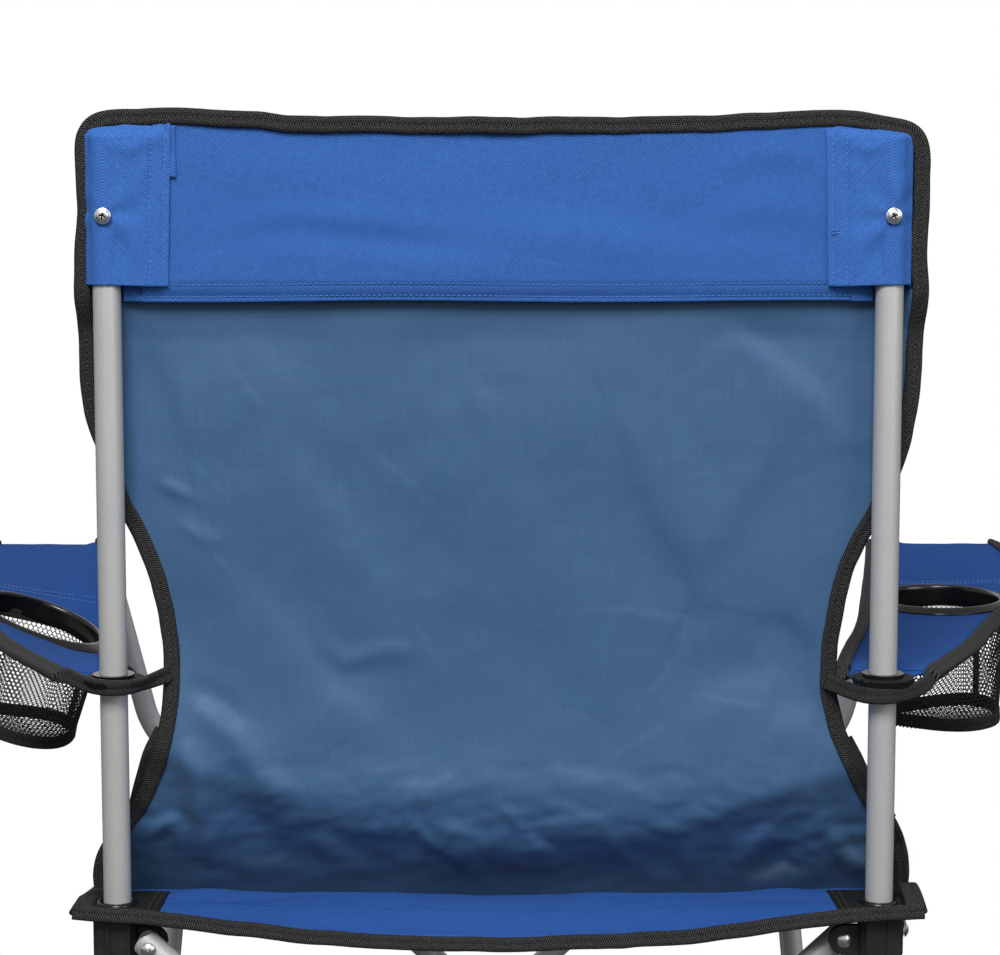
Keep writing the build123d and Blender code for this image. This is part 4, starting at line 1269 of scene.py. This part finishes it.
# ------------------------------------------- strap round the arm eyelets
for side, sx in (("left", 1), ("right", -1)):
    hub = "rear_%s_hub" % side
    # cloth tongue of the armrest round the post
    n, m = 64, 14
    a = np.linspace(0, 2 * pi, n, endpoint=False)
    q = np.linspace(0, 1, m)
    rin = RT + 0.7
    outx = 17.2 + 0.6 * np.cos(2 * a)
    XXg = POST + (rin + (outx - rin)[:, None] * q[None, :]) * np.cos(a)[:, None]
    YYg = YP + (rin + (outx - rin)[:, None] * q[None, :]) * np.sin(a)[:, None]
    Zg = np.full_like(XXg, Z_EYE + 1.2)
    P = np.stack([sx * XXg, YYg, Zg], -1)
    if sx < 0:
        P = P[::-1]
    o = shell("arm_tongue_" + side, P, 2.0, [M_PATCH, M_PATCH], np.stack([XXg, YYg], -1) / 1000, closed=True)
    done(o, hub, "black_binding")
    # binding in front of the post, on to the back panel's side
    wl = 188.0
    up = 3.0 if sx > 0 else -2.2
    pts = [(float(np.interp(yq, *zip(*OUT_E[sx]))) - 2.2, yq, float(arm_z(np.interp(yq, *zip(*OUT_E[sx])) - 2.2, np.array(yq), sx)) - 0.2) for yq in (176.0, 186.0, 196.0)]
    pts += [(250, 209, Z_EYE - 2.4 + up), (243, 221, Z_EYE - 3.0 + up), (233, 233, Z_EYE - 3.6 + up), (222, 238.8, Z_EYE - 4.0 + up), (211, 235.5, Z_EYE - 4.2 + up),
            (204, 226, Z_EYE - 3.8 + up), (198, 214, Z_EYE - 3.0 + up), (191.5, 206, Z_EYE - 1.6 + up)]
    pts = np.array([(sx * x, y, z) for x, y, z in pts])
    nn = np.array([(sx * 0.75, 0, 1), (sx * 0.75, 0.1, 0.9), (sx * 0.75, 0.3, 0.7), (sx * 0.7, 0.7, 0.3), (sx * 0.6, 0.8, 0.1), (sx * 0.35, 0.95, 0), (0.0, 1, 0), (-sx * 0.35, 0.9, -0.1),
                   (-sx * 0.6, 0.8, -0.1), (-sx * 0.6, 0.8, 0.1), (-sx * 0.3, 1, 0.2)])
    t = tape("arm_strap_" + side, pts, nn, 9.6, 2.8, M_TAPE, wobble=0.4, seed=90 + sx, rounds=8, turn=[(0, 0), (0.6, 0), (0.8, -22), (1, 0)])
    done(t, hub, "black_binding")
    # the armrest's cloth runs on to its eyelet
    a, b = np.meshgrid(np.linspace(0, 1, 40), np.linspace(0, 1, 20), indexing="ij")
    YYg = 196.0 + 17.0 * b
    inn = np.interp(YYg, *zip(*IN_E[sx])) + (1.0 if sx < 0 else -2.0) * (YYg - 196) / 17
    out_ = np.interp(YYg, *zip(*OUT_E[sx])) - 3.0 - 8.0 * (YYg - 196) / 17
    XXg = inn + (out_ - inn) * a
    Zg = arm_z(XXg, YYg, sx) - 0.7 - 1.2 * (YYg - 196) / 17
    P = np.stack([sx * XXg, YYg, Zg], -1)
    if sx < 0:
        P = P[::-1]
    o = shell("arm_end_cloth_" + side, P, 1.3, [M_ARM_SHADED, M_COATED], np.stack([sx * XXg, YYg], -1) / 1000)
    done(o, hub, "blue_canvas")
    yy = np.linspace(194.0, 213.0, 24)
    inn = np.interp(yy, *zip(*IN_E[sx])) + 2.4
    pts = np.stack([sx * inn, yy, arm_z(inn, yy, sx) + 0.5 - 2.6 * smoothstep(198, 213, yy)], -1)
    t = tape("arm_end_binding_" + side, pts, (-0.35 * sx, 0, 1), 9.0, 3.4, M_TAPE, wobble=0.3, seed=97 + sx)
    done(t, hub, "black_binding")

# ------------------------------------- eyelets of the seat, pocket screws
EYELET = [(8.7, -1.2), (8.7, 0.6), (9.1, 1.2), (10.0, 1.5), (11.0, 1.2), (11.9, 0.4), (12.0, -1.2)]
for tag, sy in (("rear", 1), ("front", -1)):
    for side, sx in (("left", 1), ("right", -1)):
        zc = float(seat_z(np.array([sx * POST]), np.array([sy * YP]))[0]) + ZG + 2.6
        o = lathe("seat_eyelet_rim_%s_%s" % (tag, side), EYELET, [M_GLOSS], np.array([sx * POST, sy * YP, zc]), np.array([1.0, 0, 0]), np.array([0, 1.0, 0]), np.array([0, 0, 1.0]), n=72)
        done(o, "%s_%s_hub" % (tag, side), "gloss_black")
HEAD = [(0.03, 0.0), (4.4, 0.0), (4.72, 0.3), (4.55, 0.75), (4.0, 0.95), (3.7, 0.85), (3.62, 1.5), (3.4, 1.95), (2.9, 2.2), (1.6, 2.35), (0.03, 2.4)]
for side, sx, body in (("left", 1, ROOT), ("right", -1, RIGHT_BODY)):
    lo_, hi_ = mmbox("pocket_screw_" + side)
    c = np.array([(lo_[0] + hi_[0]) / 2, max(float(hi_[1]) - 2.4, 231.0), (lo_[2] + hi_[2]) / 2])
    o = lathe("pocket_screw_head_" + side, HEAD, [M_SCREW], c, np.array([1.0, 0, 0]), np.array([0, 0, -1.0]), np.array([0, 1.0, 0]), n=64)
    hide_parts("pocket_screw_" + side)
    done(o, body, "screw_chrome")
    # painted shade: black bars stand in for the shade inside the screw head's cross recess
    turn_ = 0.25 if sx > 0 else -0.5
    V, F = [], []
    for an in (turn_, turn_ + math.pi / 2):
        u_ = np.array([math.cos(an), 0, math.sin(an)])
        w_ = np.array([-math.sin(an), 0, math.cos(an)])
        b0 = len(V)
        for yq in (1.9, 2.52):
            for su, sw in ((1, 1), (-1, 1), (-1, -1), (1, -1)):
                V.append(c + np.array([0, yq, 0]) + u_ * 1.9 * su + w_ * 0.42 * sw)
        F += [(b0, b0 + 1, b0 + 2, b0 + 3), (b0 + 7, b0 + 6, b0 + 5, b0 + 4)] + [(b0 + k_, b0 + 4 + k_, b0 + 4 + (k_ + 1) % 4, b0 + (k_ + 1) % 4) for k_ in range(4)]
    o = make("pocket_screw_slot_shade_" + side, np.array(V), F, [M_PATCH], np.zeros((len(V), 2)), smooth=False)
    done(o, body, "gloss_black")

# ------------------------------------------------------------------ stage
def stage():
    bpy.ops.mesh.primitive_plane_add(size=60, location=(0, 0, -0.0004))
    floor = bpy.context.object
    floor.name = "floor"
    m, nt, b = nodes_of("floor_pale")
    k = Net(nt)
    out = nt.nodes["Material Output"]
    b.inputs["Base Color"].default_value = (0.82, 0.82, 0.82, 1)
    b.inputs["Roughness"].default_value = 0.8
    em = k.n("ShaderNodeEmission")
    em.inputs["Color"].default_value = (1, 1, 1, 1)
    em.inputs["Strength"].default_value = 1.0
    lp = k.n("ShaderNodeLightPath")
    obj = k.n("ShaderNodeTexCoord").outputs["Object"]
    ln = k.n("ShaderNodeVectorMath", operation="LENGTH")
    k.link(obj, ln.inputs[0])
    fac = k.ramp(k.math("DIVIDE", ln.outputs["Value"], 3.0), [(0.16, (0.0, 0.0, 0.0)), (0.34, (1, 1, 1))])
    mx = k.n("ShaderNodeMixShader")
    k.link(fac, mx.inputs[0])
    k.link(b.outputs[0], mx.inputs[1])
    k.link(em.outputs[0], mx.inputs[2])
    dull = k.n("ShaderNodeBsdfDiffuse")
    dull.inputs["Color"].default_value = (0.10, 0.10, 0.10, 1)
    own = k.n("ShaderNodeMixShader")
    k.link(lp.outputs["Is Camera Ray"], own.inputs[0])
    k.link(dull.outputs[0], own.inputs[1])
    k.link(mx.outputs[0], own.inputs[2])
    k.link(own.outputs[0], out.inputs["Surface"])
    floor.data.materials.append(m)


stage()
w = bpy.data.worlds.new("studio")
bpy.context.scene.world = w
w.use_nodes = True
k = Net(w.node_tree)
bg = w.node_tree.nodes["Background"]
bg.inputs["Color"].default_value = (1, 1, 1, 1)
lp = k.n("ShaderNodeLightPath")
sky = k.n("ShaderNodeSeparateXYZ")
k.link(k.n("ShaderNodeTexCoord").outputs["Generated"], sky.inputs[0])
amb = k.ramp(k.math("ADD", k.math("MULTIPLY", sky.outputs[2], 0.5), 0.5), [(0.40, (0.04,) * 3), (0.52, (0.30,) * 3), (1.0, (0.34,) * 3)])
cam_ray = lp.outputs["Is Camera Ray"]
gloss = k.math("MULTIPLY", lp.outputs["Is Glossy Ray"], 0.18)
k.link(k.math("ADD", cam_ray, k.math("MULTIPLY", k.math("SUBTRACT", 1.0, cam_ray), k.math("ADD", amb, k.math("MULTIPLY", gloss, k.math("GREATER_THAN", sky.outputs[2], -0.02))))), bg.inputs["Strength"])


def area(name, loc, target, size, power, color=(1, 1, 1)):
    l = bpy.data.lights.new(name, "AREA")
    l.energy, l.size, l.color = power, size, color
    o = bpy.data.objects.new(name, l)
    o.location = loc
    o.rotation_euler = (Vector(target) - Vector(loc)).to_track_quat("-Z", "Y").to_euler()
    bpy.context.scene.collection.objects.link(o)


area("key", (0.35, 2.35, 2.75), (0, 0.2, 0.62), 1.3, 88)
area("fill", (-1.9, 2.1, 1.5), (0, 0.1, 0.6), 1.2, 15)
area("front", (0.8, -2.4, 2.0), (0, 0, 0.5), 1.6, 9)

cam = bpy.data.cameras.new("camera")
cam.sensor_width = 36.0
cam.lens = 89.75
co = bpy.data.objects.new("camera", cam)
bpy.context.scene.collection.objects.link(co)
yaw, pitch = math.radians(0.36), math.radians(6.48)
co.location = (0.0081, (YP + 1417) / 1000, (ZG + 415) / 1000)
f = Vector((-math.sin(yaw) * math.cos(pitch), -math.cos(yaw) * math.cos(pitch), -math.sin(pitch)))
co.rotation_euler = f.to_track_quat("-Z", "Y").to_euler()
bpy.context.scene.camera = co
bpy.context.scene.view_settings.view_transform = "Standard"
